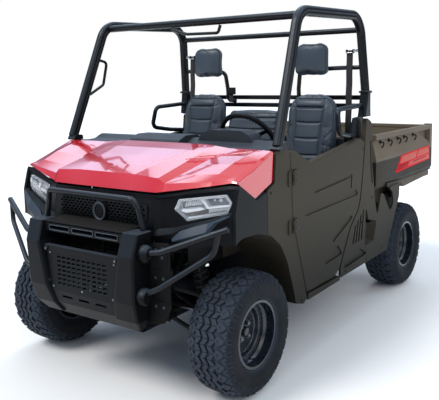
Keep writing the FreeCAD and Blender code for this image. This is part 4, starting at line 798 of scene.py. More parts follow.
class UTV_OT_seats(bpy.types.Operator):
    """Sew and fill the three cushions, the three backs and the two head restraints"""
    bl_idname = "utv.seats"
    bl_label = "Seats"

    def execute(self, context):
        sizes = context.scene.utv_seats
        self.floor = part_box("seat_cushions")[0].z + 0.001
        self.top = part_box("seat_cushions")[1].z
        left, middle = ([self.cushion(side + "_seat_cushion", x, half, sizes),
                         self.back(side + "_seat_back", x, half, high, sizes)]
                        for side, x, half, high in (("left", 0.436, 0.188, 1.486), ("middle", 0.0, 0.232, 1.382)))
        left.append(self.head_restraint("left_head_restraint_pad", sizes))
        right = [mirrored(piece, piece.name.replace("left", "right")) for piece in left]
        for pieces in (left, middle, right):
            for piece, node in zip(pieces, ("seat_cushions", "seat_backs", "head_restraints")):
                fitted(piece, "chassis", "seat_vinyl", node)
        return {"FINISHED"}

    def cushion(self, name, x, half, sizes):
        """A cushion with raised sides, three seams across it and one along each side."""
        front, rear = -0.434, 0.014
        low, high = self.floor, self.top - 0.012

        def spot(u, v):
            across, along = 2 * u - 1, v
            wide = half - 0.010 - 0.010 * (1 - along) ** 4
            y = front + 0.010 + (rear - front - 0.020) * along
            return x + wide * across, y, across, along

        def top(u, v):
            px, y, across, along = spot(u, v)
            wings = 0.016 * max(0.0, abs(across) - 0.62) / 0.38
            crown = 0.014 * (1 - (across / 0.66) ** 2) if abs(across) < 0.66 else 0.0
            fall = 0.026 * max(0.0, 1 - along / 0.22) ** 2
            edge = 0.020 * max(0.0, abs(across) - 0.86) ** 2 / 0.0196
            return px, y, high - 0.016 + wings + crown - fall - edge - 0.010 * along

        def under(u, v):
            px, y = spot(u, v)[:2]
            return px, y, low

        pad = stuffed(form(name, 30, 30, top, under), "seat vinyl", sizes.swell)
        inner = half * 0.62
        lines = [([(x + side * inner * 0.96, front + 0.02), (x + side * inner, rear - 0.01)], 0.009, 0.006)
                 for side in (1, -1)]
        for share in (0.24, 0.47, 0.70):
            y = front + (rear - front) * share
            lines.append(([(x - inner, y), (x, y + 0.006), (x + inner, y)], 0.0075, 0.006))
        pad = sewn(pad, (0, 0, 1), [0, 1], lines, sizes.keep)
        beads = [self.bead(pad, name, [(x + side * (half - 0.020), front + 0.035),
                                       (x + side * (half - 0.018), rear - 0.03)], (0, 0, 1), (0, 1), side)
                 for side in (1, -1)]
        return joined(name, [pad] + beads)

    def back(self, name, x, half, high, sizes):
        """A seat back of that half width and top: the outer ones have a rounded top with a pillow sewn across."""
        low = 0.8165
        wide_top = high > 1.4

        def outline(v):
            z = low + (high - 0.012 - low) * v
            reach = 0.14 if wide_top else 0.06
            near = max(0.0, (z - (high - 0.012 - reach)) / reach)
            curve = 2.6 if wide_top else 5.0
            wide = (half - 0.010) * (1 - near ** curve) ** (1 / curve) if near < 1 else 0.0
            return z, max(wide, 0.30 * half)

        def face(u, v):
            z, wide = outline(v)
            across = 2 * u - 1
            thick = 0.128 + 0.012 * math.sin(math.pi * min(1.0, (z - low) / 0.45)) - 0.044 * v ** 3
            wing = 0.024 * math.exp(-((abs(across) - 0.74) / 0.17) ** 2) * (1 - 0.6 * v) if wide_top else 0.0
            crown = 0.010 * (1 - min(1.0, abs(across) / 0.56) ** 2)
            edge = 0.030 * max(0.0, (abs(across) - 0.84) / 0.16) ** 2
            bulge = (0.010 * math.exp(-((z - (high - 0.082)) / 0.026) ** 2) * (1 if abs(across) < 0.56 else 0)
                     if wide_top else 0.006)
            return x + wide * across, back_plane(z) - thick + 0.020 - wing - crown + edge - bulge, z

        def rear(u, v):
            z, wide = outline(v)
            across = 2 * u - 1
            return x + wide * across, back_plane(z) - 0.007 - 0.012 * max(0.0, (abs(across) - 0.8) / 0.2) ** 2, z

        pad = stuffed(form(name, 34, 44, face, rear), "seat vinyl", sizes.swell)
        inner = half * (0.60 if wide_top else 0.96)
        lines = []
        if wide_top:
            pill = high - 0.105
            lines += [([(x - inner * 0.86, pill), (x + inner * 0.86, pill)], 0.013, 0.0075),
                      ([(x - inner * 0.84, high - 0.052), (x + inner * 0.84, high - 0.052)], 0.006, 0.006)]
            for side in (1, -1):
                lines.append(([(x + side * inner * 0.86, high - 0.052), (x + side * inner * 0.98, high - 0.078),
                               (x + side * inner * 0.86, pill)], 0.008, 0.006))
                lines.append(([(x + side * inner * 0.90, pill), (x + side * inner * 0.80, high - 0.24),
                               (x + side * inner * 0.80, low + 0.06)], 0.010, 0.0065))
                lines.append(([(x + side * half * 0.86, high - 0.25), (x + side * half * 0.70, high - 0.30),
                               (x + side * half * 0.68, low + 0.05)], 0.0055, 0.005))
            steps = (high - 0.200, high - 0.300, high - 0.405, high - 0.510)
        else:
            steps = (high - 0.075, high - 0.150, high - 0.225, high - 0.305, high - 0.405)
        for z in steps:
            share = inner * (0.82 if wide_top else 1.0)
            lines.append(([(x - share, z), (x, z - 0.004), (x + share, z)], 0.0085, 0.0065))
        pad = sewn(pad, (0, -1, 0), [0, 2], lines, sizes.keep)

        def edge(side, v):
            z, wide = outline(v)
            return x + side * (wide - 0.016), z - 0.010 * v

        bead = self.bead(pad, name, self.seam(6, 98, 3, edge), (0, -1, 0), (0, 2), 0)
        return joined(name, [pad, bead])

    def head_restraint(self, name, sizes):
        """A shield-shaped pad with a welt round its face."""
        low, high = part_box("head_restraints")
        x, half = 0.418, 0.1205
        front, rear = low.y, high.y

        def outline(v):
            z = low.z + 0.009 + (high.z - low.z - 0.018) * v
            near_top, near_foot = max(0.0, (v - 0.72) / 0.28), max(0.0, (0.16 - v) / 0.16)
            wide = half * (1 - 0.42 * near_top ** 3 - 0.30 * near_foot ** 3) * (0.985 + 0.02 * math.sin(math.pi * v))
            return z, wide

        def face(u, v):
            z, wide = outline(v)
            across = 2 * u - 1
            crown = 0.020 * (1 - across ** 4) * (1 - (2 * v - 1) ** 6)
            return x + wide * across, front + 0.030 - crown + 0.012 * v ** 3, z

        def behind(u, v):
            z, wide = outline(v)
            across = 2 * u - 1
            return x + wide * across, rear - 0.004 - 0.012 * (across ** 4), z

        pad = stuffed(form(name, 24, 22, face, behind), "seat vinyl", min(sizes.swell, 0.009))
        pad = sewn(pad, (0, -1, 0), [0, 2], [([(x - 0.09, low.z + 0.03), (x + 0.09, low.z + 0.03)], 0.0, 0.005)], 0.8)

        def edge(side, v):
            z, wide = outline(v)
            return x + side * (wide - 0.012), z - 0.006 * (2 * v - 1)

        line = self.seam(10, 96, 4, edge)
        bead = self.bead(pad, name, line + line[:1], (0, -1, 0), (0, 2), 0)
        return joined(name, [pad, bead])

    def seam(self, first, last, step, place):
        """The line of a seam up the left side and down the right: place takes the side and the height's share."""
        return [place(side, share / 100) for side, order in ((1, range(first, last, step)),
                                                             (-1, range(last - 2, first - 1, -step)))
                for share in order]

    def bead(self, pad, name, line, facing, flat, number):
        """Welt cord sewn along a seam."""
        path = laid_on(pad, divided(line, 0.010), facing, flat, 0.0006)
        return wire(f"{name}.bead{number}", path, 0.0021, "seat piping", 6)


# ---------------------------------------------------------------- tyres

# Half of the tyre's section without its tread: offset from the centre plane and radius, crown to bead.
CARCASS = [(0, 300.8), (22, 300.6), (44, 299.8), (64, 298.2), (82, 295.4), (95, 291.6), (105, 286), (112.5, 278.5),
           (117.5, 269), (120.5, 258), (121.3, 257.5), (122.6, 256), (123.6, 246), (124.6, 232), (124.2, 220),
           (122.2, 209), (119, 199), (114.5, 190.5), (111.6, 187), (110.6, 184), (107.5, 181.5), (103, 178.5),
           (98.5, 175.5), (95.3, 172), (95.2, 165.6), (84, 165.6), (84, 176), (100, 205), (110, 238), (100, 268),
           (60, 284), (0, 287)]


TREAD_RADIUS = 306.0               # where the travel round the tyre is measured, in millimetres
RIB_SPACING = 36.0


def crown_point(reach, lift):
    """Place (across, radius) at an arc length from the crown, lifted off the carcass, in mm."""
    side = -1 if reach < 0 else 1
    left = abs(reach)
    for (x0, r0), (x1, r1) in zip(CARCASS, CARCASS[1:]):
        span = math.hypot(x1 - x0, r1 - r0)
        if left <= span:
            share = left / span
            x, r = x0 + (x1 - x0) * share, r0 + (r1 - r0) * share
            return side * (x + lift * (r0 - r1) / span), r + lift * (x1 - x0) / span
        left -= span
    raise RuntimeError("the tread reaches past the bead")


class Lugs:
    """Collects tread blocks of one pitch, in flat reach and travel, and bends them onto the tyre."""

    def __init__(self):
        self.points, self.faces = [], []

    def place(self, reach, travel, lift):
        across, radius = crown_point(reach, lift)
        angle = travel / TREAD_RADIUS
        return (across / 1000, radius * math.sin(angle) / 1000, radius * math.cos(angle) / 1000)

    def block(self, corners, height, hole=None, chamfer=1.6, draft=1.5, recess=2.6):
        """A block on those corners, with chamfered shoulders and an optional recess in its top."""
        middle = Vector((sum(c[0] for c in corners), sum(c[1] for c in corners))) / len(corners)

        def ring(inset, lift):
            start = len(self.points)
            for corner in corners:
                point = Vector(corner)
                away = point - middle
                point = middle + away * (1 - inset / max(away.length, 1e-6))
                self.points.append(self.place(point.x, point.y, lift))
            return list(range(start, start + len(corners)))

        rings = [ring(-draft, -1.0), ring(0, height - chamfer), ring(chamfer, height)]
        count = len(corners)
        for low, high in zip(rings, rings[1:]):
            for step in range(count):
                after = (step + 1) % count
                self.faces.append((low[step], low[after], high[after], high[step]))
        top = rings[-1]
        if not hole:
            self.faces.append(tuple(top))
            return
        rim = len(self.points)
        for depth in (height, height - recess):
            for corner in hole:
                self.points.append(self.place(corner[0], corner[1], depth))
        sides = len(hole)
        flat = [Vector((*corner, 0)) for corner in corners]
        holes = [Vector((*corner, 0)) for corner in hole]
        index = top + list(range(rim, rim + sides))
        for triangle in tessellate_polygon([flat, holes]):
            self.faces.append(tuple(index[i] for i in triangle))
        for step in range(sides):
            after = (step + 1) % sides
            self.faces.append((rim + step, rim + after, rim + sides + after, rim + sides + step))
        self.faces.append(tuple(range(rim + sides, rim + 2 * sides)))


def tread_pitch(sizes):
    """One pitch of the tread: three zig-zag ribs, a kite each side and a shoulder wedge beyond it."""
    pitch = 2 * math.pi * TREAD_RADIUS / sizes.pitches
    lugs = Lugs()
    height = sizes.groove * 1000
    wide, sway = sizes.rib_width * 500, sizes.sway * 1000
    quarter = pitch / 4
    for rib in (-1, 0, 1):
        middle, shift = rib * RIB_SPACING, 3.0 * rib
        for half, way in ((0, 1), (1, -1)):
            start, end = half * 2 * quarter + 1.3, (half + 1) * 2 * quarter - 1.3
            lugs.block([(middle + step * wide + lean * sway + shift, travel)
                        for lean, row in ((-way, ((-1, start + 2.2), (0, start), (1, start + 2.2))),
                                          (way, ((1, end - 1.0), (0, end + 1.0), (-1, end - 1.0))))
                        for step, travel in row], height)
    for side in (1, -1):
        lag = 0.0 if side == 1 else pitch / 2

        def laid(*corners):
            return [(side * reach, turn * quarter + lag) for reach, turn in corners]

        kite = laid((54, 2), (66, 0.62), (76, 0.45), (100, 1.7), (101, 2.3), (78, 3.5), (66, 3.4))
        lugs.block(kite, height, laid((66, 2), (78, 1.35), (79, 2.65)))
        wedge = laid((85, 0.0), (104, -1.35), (118, -1.5), (134, -1.45), (146, -1.05), (148, 0.0), (146, 1.05),
                     (134, 1.45), (118, 1.5), (104, 1.35))
        lugs.block(wedge, height * 0.52, laid((100, 0.0), (112, -0.55), (112, 0.55)))
    return lugs


def road_wheels():
    """Each road wheel's name, its outward sign and its centre."""
    for end in ("front", "rear"):
        for side, sign in SIDES:
            low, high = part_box(f"{end}_{side}_tyre")
            yield f"{end}_{side}", sign, (low + high) / 2


class UTV_OT_tyres(bpy.types.Operator):
    """Build the four tyres: a turned carcass with side rings, and the tread blocks round it"""
    bl_idname = "utv.tyres"
    bl_label = "Tyres"

    def execute(self, context):
        sizes = context.scene.utv_tyres
        section = [(x / 1000, r / 1000) for x, r in CARCASS]
        section = section + [(-x, r) for x, r in section[-2:0:-1]]
        lugs = tread_pitch(sizes)
        for wheel, _, centre in road_wheels():
            name = wheel + "_tyre_tread"
            item = tidied(mesh_object(name + ".pitch", lugs.points, lugs.faces, "tyre rubber"), merge=1e-6)
            blocks = ring_of(name + ".blocks", item, sizes.pitches, centre)
            carcass = turned(name + ".carcass", section, "tyre rubber", 120, sharp=40)
            carcass.data.transform(Matrix.Translation(centre))
            fitted(joined(name, [carcass, blocks]), wheel + "_road_wheel", "tyre_rubber", wheel + "_tyre")
        return {"FINISHED"}


# ---------------------------------------------------------------- trim helpers

def at(x, y, z):
    """A place from millimetres, with y measured back from the front axle."""
    return Vector((x / 1000, y / 1000 + AXLE, z / 1000))


def plate(name, corners, low, high, axis, finish="soft black", bevel=1.0):
    """A plate from (a, b, radius) corners and two levels, all in millimetres as for at()."""
    along = {"x": (AXLE, 0.0, 0.0), "y": (0.0, 0.0, AXLE), "z": (0.0, AXLE, 0.0)}[axis]
    flat = [(a / 1000 + along[0], b / 1000 + along[1]) for a, b in round_corners(corners)]
    return slab(name, flat, low / 1000 + along[2], high / 1000 + along[2], axis, finish, bevel / 1000)


def hex_bolt(size, height, finish):
    """A flanged bolt head, standing along X from the origin."""
    flange = turned("flange", [(0, 0), (0, size * 1.45), (size * 0.16, size * 1.4), (size * 0.24, 0)], finish,
                    16, False)
    head = turned("head", [(0, 0), (0, size), (height * 0.8, size), (height, size * 0.8),
                           (height, size * 0.45), (height * 0.75, size * 0.4), (height * 0.75, 0)], finish, 6,
                  False)
    return joined("bolt", [flange, head])


def push_pin(size, finish):
    """A round trim fastener with a dished head, standing along X from the origin."""
    return turned("pin", [(0, 0), (0, size), (size * 0.22, size * 0.96), (size * 0.34, size * 0.7),
                          (size * 0.24, size * 0.55), (size * 0.2, 0)], finish, 16, False)


def fitted(piece, body, slot, *nodes):
    """The piece rides on the body and stands for the nodes, which are hidden. The slot is not used."""
    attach(piece, body)
    if nodes:
        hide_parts(*nodes)
    return piece


def both_sides(piece, body, slot, *nodes):
    """The left piece and its mirror image, fitted to a body."""
    for thing in (piece, mirrored(piece, piece.name.replace("left", "right"))):
        fitted(thing, body, slot, *nodes)


def on_both(places, way=None):
    """Spots for copies: each place and its mirror image in millimetres, facing outwards or that way."""
    return [(at(side * x, y, z), way or (side, 0, 0)) for side in (1, -1) for x, y, z in places]


def inset(corners, amount):
    """The clockwise outline with each side moved in by that amount."""
    moved_in = []
    for place, corner in enumerate(corners):
        before, here, after = (Vector(spot) for spot in (corners[place - 1], corner,
                                                         corners[(place + 1) % len(corners)]))
        first, second = (here - before).normalized(), (after - here).normalized()
        first, second = Vector((first.y, -first.x)), Vector((second.y, -second.x))
        moved_in.append(tuple(here + (first + second) * amount / (1 + first.dot(second))))
    return moved_in


# ---------------------------------------------------------------- lamps

LAMP_EDGE = [(440, 955), (463, 1005), (692, 1036), (723, 1000), (706, 944), (503, 899)]
LAMP_FRONT = ((436, -244), (730, -160))            # line of the lamp's face, seen from above


class UTV_OT_lamps(bpy.types.Operator):
    """Set a plated bowl with its divider and flutes, and a faceted clear lens, in each nose opening"""
    bl_idname = "utv.lamps"
    bl_label = "Lamps"

    # Each ring of the bowl and of the lens: how far in from the opening's edge, and how far behind the face.
    BOWL = [(1.2, 62), (1.2, 3), (2.0, 0.5), (4.2, 0.5), (5.2, 3), (6.0, 12), (7.6, 12), (8.4, 4), (9.4, 2),
            (12.4, 3), (14.0, 20), (17.0, 36)]
    LENS = [(24, -7.0), (7, -4.5), (1.2, -1.5), (1.2, 2.6), (3.6, 2.6), (3.6, 0.2), (8, -2.2), (24, -4.6)]

    def execute(self, context):
        things = [self.rings("bowl", self.BOWL, "lamp chrome")]
        things += [self.inner(*row) for row in (
            ("divider", [(566, 1010, 1), (585, 1013, 1), (607, 976, 2), (709, 989, 1), (707, 979, 1), (600, 962, 2)],
             4, 30, "lamp chrome"),
            ("shelf", [(473, 946, 3), (481, 960, 4), (566, 973, 3), (592, 962, 2), (568, 954, 2), (500, 940, 2)],
             1, 30, "lamp chrome"),
            ("slot", [(491, 936, 1), (500, 941, 1), (567, 953.5, 1), (590, 957, 1), (592, 944, 1), (508, 922, 1)],
             8, 34, "lamp black"),
            ("foot", [(506, 910, 1), (500, 919, 1), (596, 938, 1), (702, 958, 1), (699, 948, 1)], 5, 24,
             "lamp chrome"),
        )]
        things.append(self.inner("floor", [(x, z, 3) for x, z in inset(LAMP_EDGE, 17)], 33, 36.5, "lamp smoke"))
        for count, start, climb, ease, front, corners in (
                (8, 486, 1.4, 1.0, 14, ((0, 968), (4, 968.5), (13, 994), (8, 993.5))),
                (9, 604, 2.0, 0.7, 8, ((0, 944), (4, 945), (9, 965), (5, 964)))):
            for step in range(count):
                low, lift = start + 10.5 * step, climb * step
                rise = (lift, lift, lift * ease, lift * ease)
                flute = [(low + x, z + up, 1) for (x, z), up in zip(corners, rise)]
                things.append(self.inner("flute", flute, front, 36, "lamp chrome"))
        for x, z, size in ((650, 1004, 10), (620, 1002, 6), (524, 981, 8)):
            dome = turned("dome", [(size * 0.9 * math.sin(math.radians(a)), size * math.cos(math.radians(a)))
                                   for a in range(0, 91, 15)], "lamp chrome", 20, False, (0, -1, 0),
                          (x, 34, z), 60)
            things.append(dome)
        bowl = self.placed(joined("left_headlight_bowl", things))
        lens = self.placed(self.rings("left_headlight_lens", self.LENS, "lamp glass"))
        both_sides(bowl, "chassis", "lamp_lens", "headlights")
        both_sides(lens, "chassis", "lamp_lens", "headlights")
        return {"FINISHED"}

    def rings(self, name, rows, finish):
        """A closed shell through the rows of (amount in, depth), each a ring inside the lamp's edge."""
        points, faces = [], []
        for amount, depth in rows:
            flat = round_corners([(x, z, max(1.0, 9 - amount * 0.5)) for x, z in inset(LAMP_EDGE, amount)])
            points += [(x, depth, z) for x, z in flat]
        count = len(flat)
        for row in range(len(rows) - 1):
            here, ahead = row * count, (row + 1) * count
            faces += [(here + k, here + (k + 1) % count, ahead + (k + 1) % count, ahead + k) for k in range(count)]
        faces += [tuple(range(count)), tuple(range(len(points) - count, len(points)))]
        return tidied(mesh_object(name, points, faces, finish), 1e-4, 25)

    def inner(self, name, corners, front, back, finish):
        return slab(name, round_corners(corners, 2), front, back, "y", finish, 0.8)

    def placed(self, thing):
        """Swept back onto the lamp's face, and from millimetres to metres."""
        (x0, y0), (x1, y1) = LAMP_FRONT
        lean = (y1 - y0) / (x1 - x0)
        for vert in thing.data.vertices:
            x, depth, z = vert.co
            vert.co = at(x, y0 + (x - x0) * lean + depth, z)
        thing.data.update()
        return thing


# ---------------------------------------------------------------- front trim

class UTV_OT_front(bpy.types.Operator):
    """Fit the skirt and shields behind the guard, its bosses and bolts, the lamp cheeks and the badge ring"""
    bl_idname = "utv.front"
    bl_label = "Front trim"

    def execute(self, context):
        self.skirt()
        self.bosses()
        self.bolts()
        self.facets()
        self.badge()
        return {"FINISHED"}

    def badge(self):
        """The rims of the three slots in the guard's bar, and the plain ring and disc of the badge."""
        rims = []
        # The slot rims take the pale blue-grey edge finish, a painted highlight along the slot edges.
        for x in (-168, 0, 168):
            loop = [at(a, -429.2, b) for a, b in round_corners(oblong(x - 75, 814, x + 75, 839, 10), 5)]
            rims.append(wire(f"rim{x}", loop, 0.0022, "worn edge", 8, True))
        fitted(joined("guard_bar_slot_rims", rims), "chassis", "black_steel")
        ring = turned("ring", [(0, 33), (0, 43), (3.0, 44.5), (5.5, 43), (6.5, 40), (5.5, 36.5), (3, 33)],
                      "worn edge", 56, True, (0, -1, 0))
        face = turned("face", [(-6, 34), (-1.5, 34), (1.2, 24), (2.2, 12), (2.6, 0)], "soft black", 40, False,
                      (0, -1, 0), (0, 0, 0))
        badge = joined("grille_badge_ring", [ring, face])
        badge.data.transform(Matrix.Translation(at(0, -308, 912)) @ Matrix.Diagonal((0.001, 0.001, 0.0011, 1)))
        fitted(badge, "chassis", "black_plastic")

    def skirt(self):
        """Louvred shroud behind the guard's bar, and a splash shield outside each upright."""
        shroud = [plate("shroud", [(-332, 852, 6), (332, 852, 6), (318, 560, 20), (-318, 560, 20)], -276, -271, "y")]
        for step in range(8):
            z = 704 + 18 * step
            shroud.append(plate("louvre", [(-286, z, 1), (-292, z + 4, 1), (-276, z + 12, 1), (-272, z + 10, 1)],
                                -300, 300, "x", bevel=0.6))
        for x in (-205, 0, 205):
            shroud.append(plate("post", oblong(x - 7, 700, x + 7, 848, 2), -296, -272, "y"))
        shelf = plate("shelf", [(-434, 856, 2), (-434, 861, 2), (-300, 868, 2), (-300, 863, 2)], -280, 280, "x")
        cheeks = [plate("cheek", [(-404, 858, 4), (-276, 860, 4), (-276, 520, 10), (-404, 520, 10)],
                        *sorted((side * 296, side * 300)), "x") for side in (1, -1)]
        fitted(joined("grille_lower_shroud", shroud + [shelf] + cheeks), "chassis", "black_plastic")
        shield = [plate("shield", [(330, 800, 8), (496, 818, 20), (496, 500, 40), (450, 420, 20), (330, 396, 8)],
                        -350.5, -346, "y"),
                  plate("flange", oblong(488, 800, 496, 520, 2), -358, -347, "y")]
        for z in (520, 600, 680):
            shield.append(plate("rib", [(398, z, 3), (456, z + 5, 3), (456, z + 11, 3), (398, z + 6, 3)], -354, -349,
                                "y"))
        both_sides(joined("left_splash_shield", shield), "chassis", "black_plastic")

    def facets(self):
        """The folded cheek panel under each lamp: flush with the ledge above and proud along its foot."""
        upper = [(462, -294, 824), (500, -277, 862), (560, -256, 884), (632, -232, 906), (700, -204, 935),
                 (728, -193, 944)]
        lower = [(470, -303, 812), (512, -303, 828), (560, -286, 843), (634, -259, 866), (672, -240, 912),
                 (724, -200, 938)]
        rows = [upper, lower, [(x, y + 34, z - 9) for x, y, z in lower], [(x, y + 26, z - 4) for x, y, z in upper]]
        points = [at(*spot) for row in rows for spot in row]
        count = len(upper)
        faces = [(row * count + k, row * count + k + 1, (row + 1) % 4 * count + k + 1, (row + 1) % 4 * count + k)
                 for row in range(4) for k in range(count - 1)]
        faces += [tuple(row * count for row in range(3, -1, -1)), tuple(row * count + count - 1 for row in range(4))]
        # The facet takes a lighter, blue copy of the nose plastic, a painted highlight.
        made = tidied(mesh_object("left_cheek_facet", points, faces, "cheek plastic"), sharp=20)
        both_sides(made, "chassis", "black_plastic")

    def bosses(self):
        """Moulded collars round the places where the side tubes leave the uprights."""
        upper = [(-6, 0), (-6, 36), (10, 37), (24, 33), (32, 25), (34, 17), (28, 0)]
        lower = [(-8, 0), (-8, 42), (8, 43), (20, 40), (27, 33), (29, 18), (24, 0)]
        made = []
        for profile, place, stretch in ((upper, (386, -404, 764), (1.0, 1.05, 1.25)),
                                        (lower, (382, -412, 560), (1.0, 1.0, 1.0))):
            boss = turned("boss", profile, "guard black", 40, False, (1, 0, 0), (0, 0, 0), 30)
            boss.data.transform(Matrix.Translation(at(*place)) @ Matrix.Diagonal(
                (*(0.001 * way for way in stretch), 1)))
            made.append(boss)
        both_sides(joined("left_guard_bosses", made), "chassis", "black_plastic")

    def bolts(self):
        ahead = (0, -1, 0)
        spots = on_both([(246, -459, 722), (246, -453, 545)], ahead)
        spots += [(at(x, -446, z), ahead) for x, z in ((0, 526), (-228, 700), (228, 700), (-212, 524), (212, 524))]
        fitted(spotted("guard_panel_bolts", hex_bolt(0.0040, 0.0030, "nut steel"), spots, loose=6.28), "chassis",
               "bare_steel")
        spots = on_both([(x, -350.6, z) for x, z in ((410, 776), (452, 786), (448, 742), (404, 640), (452, 640),
                                                     (402, 500), (450, 500))], ahead)
        fitted(spotted("splash_shield_pins", push_pin(0.0075, "worn edge"), spots), "chassis", "black_plastic")


# ---------------------------------------------------------------- wheel trim

class UTV_OT_wheels(bpy.types.Operator):
    """Fit each wheel's nuts, its centre cap and its valve"""
    bl_idname = "utv.wheels"
    bl_label = "Wheel trim"

    def execute(self, context):
        for wheel, sign, centre in road_wheels():
            def place(out, y, z):
                return centre + Vector((sign * out, y, z))

            body, out = wheel + "_road_wheel", (sign, 0, 0)
            angles = [math.radians(45 + 90 * quarter) for quarter in range(4)]
            spots = [(place(0.024, 0.046 * math.cos(angle), 0.046 * math.sin(angle)), out) for angle in angles]
            fitted(spotted(wheel + "_wheel_nuts", hex_bolt(0.0098, 0.009, "nut steel"), spots), body, "bare_steel")
            cap = turned("cap", [(0.013, 0.0248), (0.032, 0.0246), (0.0375, 0.0225), (0.0405, 0.017),
                                 (0.0405, 0.012), (0.0395, 0.0105), (0.0395, 0)], "gloss cap", 40, False, out,
                         centre, 30)
            path = rounded([place(0.050, 0.0, -0.139), place(0.066, 0.0, -0.137), place(0.082, 0.0, -0.128)], 0.006)
            fitted(joined(wheel + "_wheel_cap", [cap, wire("valve", path, 0.0032, "soft black", 10)]), body,
                   "wheel_steel")
        return {"FINISHED"}


# ---------------------------------------------------------------- bed and side trim

class UTV_OT_sides(bpy.types.Operator):
    """Fit the bed's tie hooks and side graphic, the rear fenders' liners, and the pins and bolts of the sides"""
    bl_idname = "utv.sides"
    bl_label = "Side trim"

    def execute(self, context):
        self.hooks()
        self.graphic()
        self.liners()
        self.fasteners()
        return {"FINISHED"}

    def hooks(self):
        spots = on_both([(719, y, 1110) for y in (1637, 1794, 1969, 2103, 2299)])
        path = rounded([(0, 0, 0.011), (0.019, 0, 0.011), (0.019, 0, -0.004), (0.010, 0, -0.017)], 0.008, 5)
        item = wire("hook.path", path, 0.0034, "soft black", 10)
        foot = turned("foot", [(0, 0), (0, 0.0095), (0.003, 0.009), (0.005, 0.005), (0.005, 0)], "soft black",
                      16, False, (1, 0, 0), (0, 0, 0.011))
        fitted(spotted("bed_tie_hooks", joined("hook", [item, foot]), spots, 1.4), "cargo_bed", "black_steel")

    def graphic(self):
        """The red streak on each bed side: a border with pale and deep panes."""
        rows = (
            ("border", [(1992, 1001, 8), (2632, 1016, 14), (2646, 904, 12), (1876, 880, 6)], 0.5, "decal red"),
            ("pane", [(2012, 992, 6), (2350, 1000, 3), (2300, 948, 3), (1958, 938, 10)], 0.9, "decal pale"),
            ("pane", [(2372, 1000, 3), (2612, 1006, 10), (2620, 958, 6), (2330, 950, 3)], 0.9, "decal pale"),
            ("pane", [(1946, 930, 6), (2150, 934, 3), (2118, 902, 3), (1920, 894, 6)], 0.9, "decal deep"),
            ("pane", [(2172, 934, 3), (2620, 948, 6), (2626, 914, 8), (2140, 902, 3)], 0.9, "decal pale"),
            ("pane", [(2250, 928, 2), (2560, 937, 2), (2556, 929, 2), (2246, 920, 2)], 1.3, "decal deep"),
        )
        made = [plate(name, corners, 741.8, 742.2 + lift, "x", finish, 0.15) for name, corners, lift, finish in rows]
        both_sides(joined("left_bed_graphic", made), "cargo_bed", "red_plastic")

    def liners(self):
        """Behind each rear fender's pocket: a dark liner, and the bridge that closes the gap under the bed."""
        liner = plate("liner", [(1726, 742, 8), (1962, 742, 8), (1962, 636, 8), (1782, 636, 20)], 699, 703, "x")
        bridge = plate("bridge", [(1700, 832, 3), (1990, 822, 3), (1986, 782, 8), (1862, 790, 8), (1735, 800, 12),
                                  (1712, 800, 4)], 743, 748, "x", "panel plastic")
        both_sides(joined("left_fender_liner", [liner, bridge]), "chassis", "black_plastic")

    def fasteners(self):
        for name, side in SIDES:
            spots = [(at(side * 763, 386, z), (side, 0, 0)) for z in (1032, 1068, 774, 807)]
            fitted(spotted(name + "_door_hinge_bolts", hex_bolt(0.0062, 0.005, "worn edge"), spots),
                   name + "_side_door", "black_steel")
        spots = on_both([(755, y, z) for y, z in ((128, 1002), (440, 356), (1262, 1118), (1282, 1180), (1415, 779),
                                                  (1250, 640), (1010, 376), (1330, 372), (1600, 392))])
        fitted(spotted("side_panel_pins", push_pin(0.0070, "soft black"), spots), "chassis", "black_plastic")
        spots = on_both([(773, 196, 1221), (773, 240, 1221), (768, 1316, 1477), (768, 1350, 1477)])
        fitted(spotted("cage_joint_bolts", hex_bolt(0.0058, 0.005, "worn edge"), spots), "chassis", "black_steel")


# ---------------------------------------------------------------- belts

def strap(name, path, width, thick=0.0016):
    """Flat webbing along the path, that wide along X."""
    wide = Vector((width / 2, 0, 0))
    points, faces = [], []
    for place, spot in enumerate(path):
        ahead = Vector(path[min(place + 1, len(path) - 1)]) - Vector(path[max(place - 1, 0)])
        out = ahead.cross(wide).normalized() * thick / 2
        for share in (-1, -0.96, 0.96, 1):
            bulge = out * (0.45 if abs(share) == 1 else 1.0)
            points += [Vector(spot) + wide * share + bulge, Vector(spot) + wide * share - bulge]
    ring = [0, 2, 4, 6, 7, 5, 3, 1]
    for place in range(len(path) - 1):
        here, ahead = place * 8, place * 8 + 8
        for a, b in zip(ring, ring[1:] + ring[:1]):
            faces.append((here + a, here + b, ahead + b, ahead + a))
    faces += [tuple(ring), tuple(len(points) - 8 + k for k in ring)]
    return tidied(mesh_object(name, points, faces, "belt webbing"), 1e-7, 40)


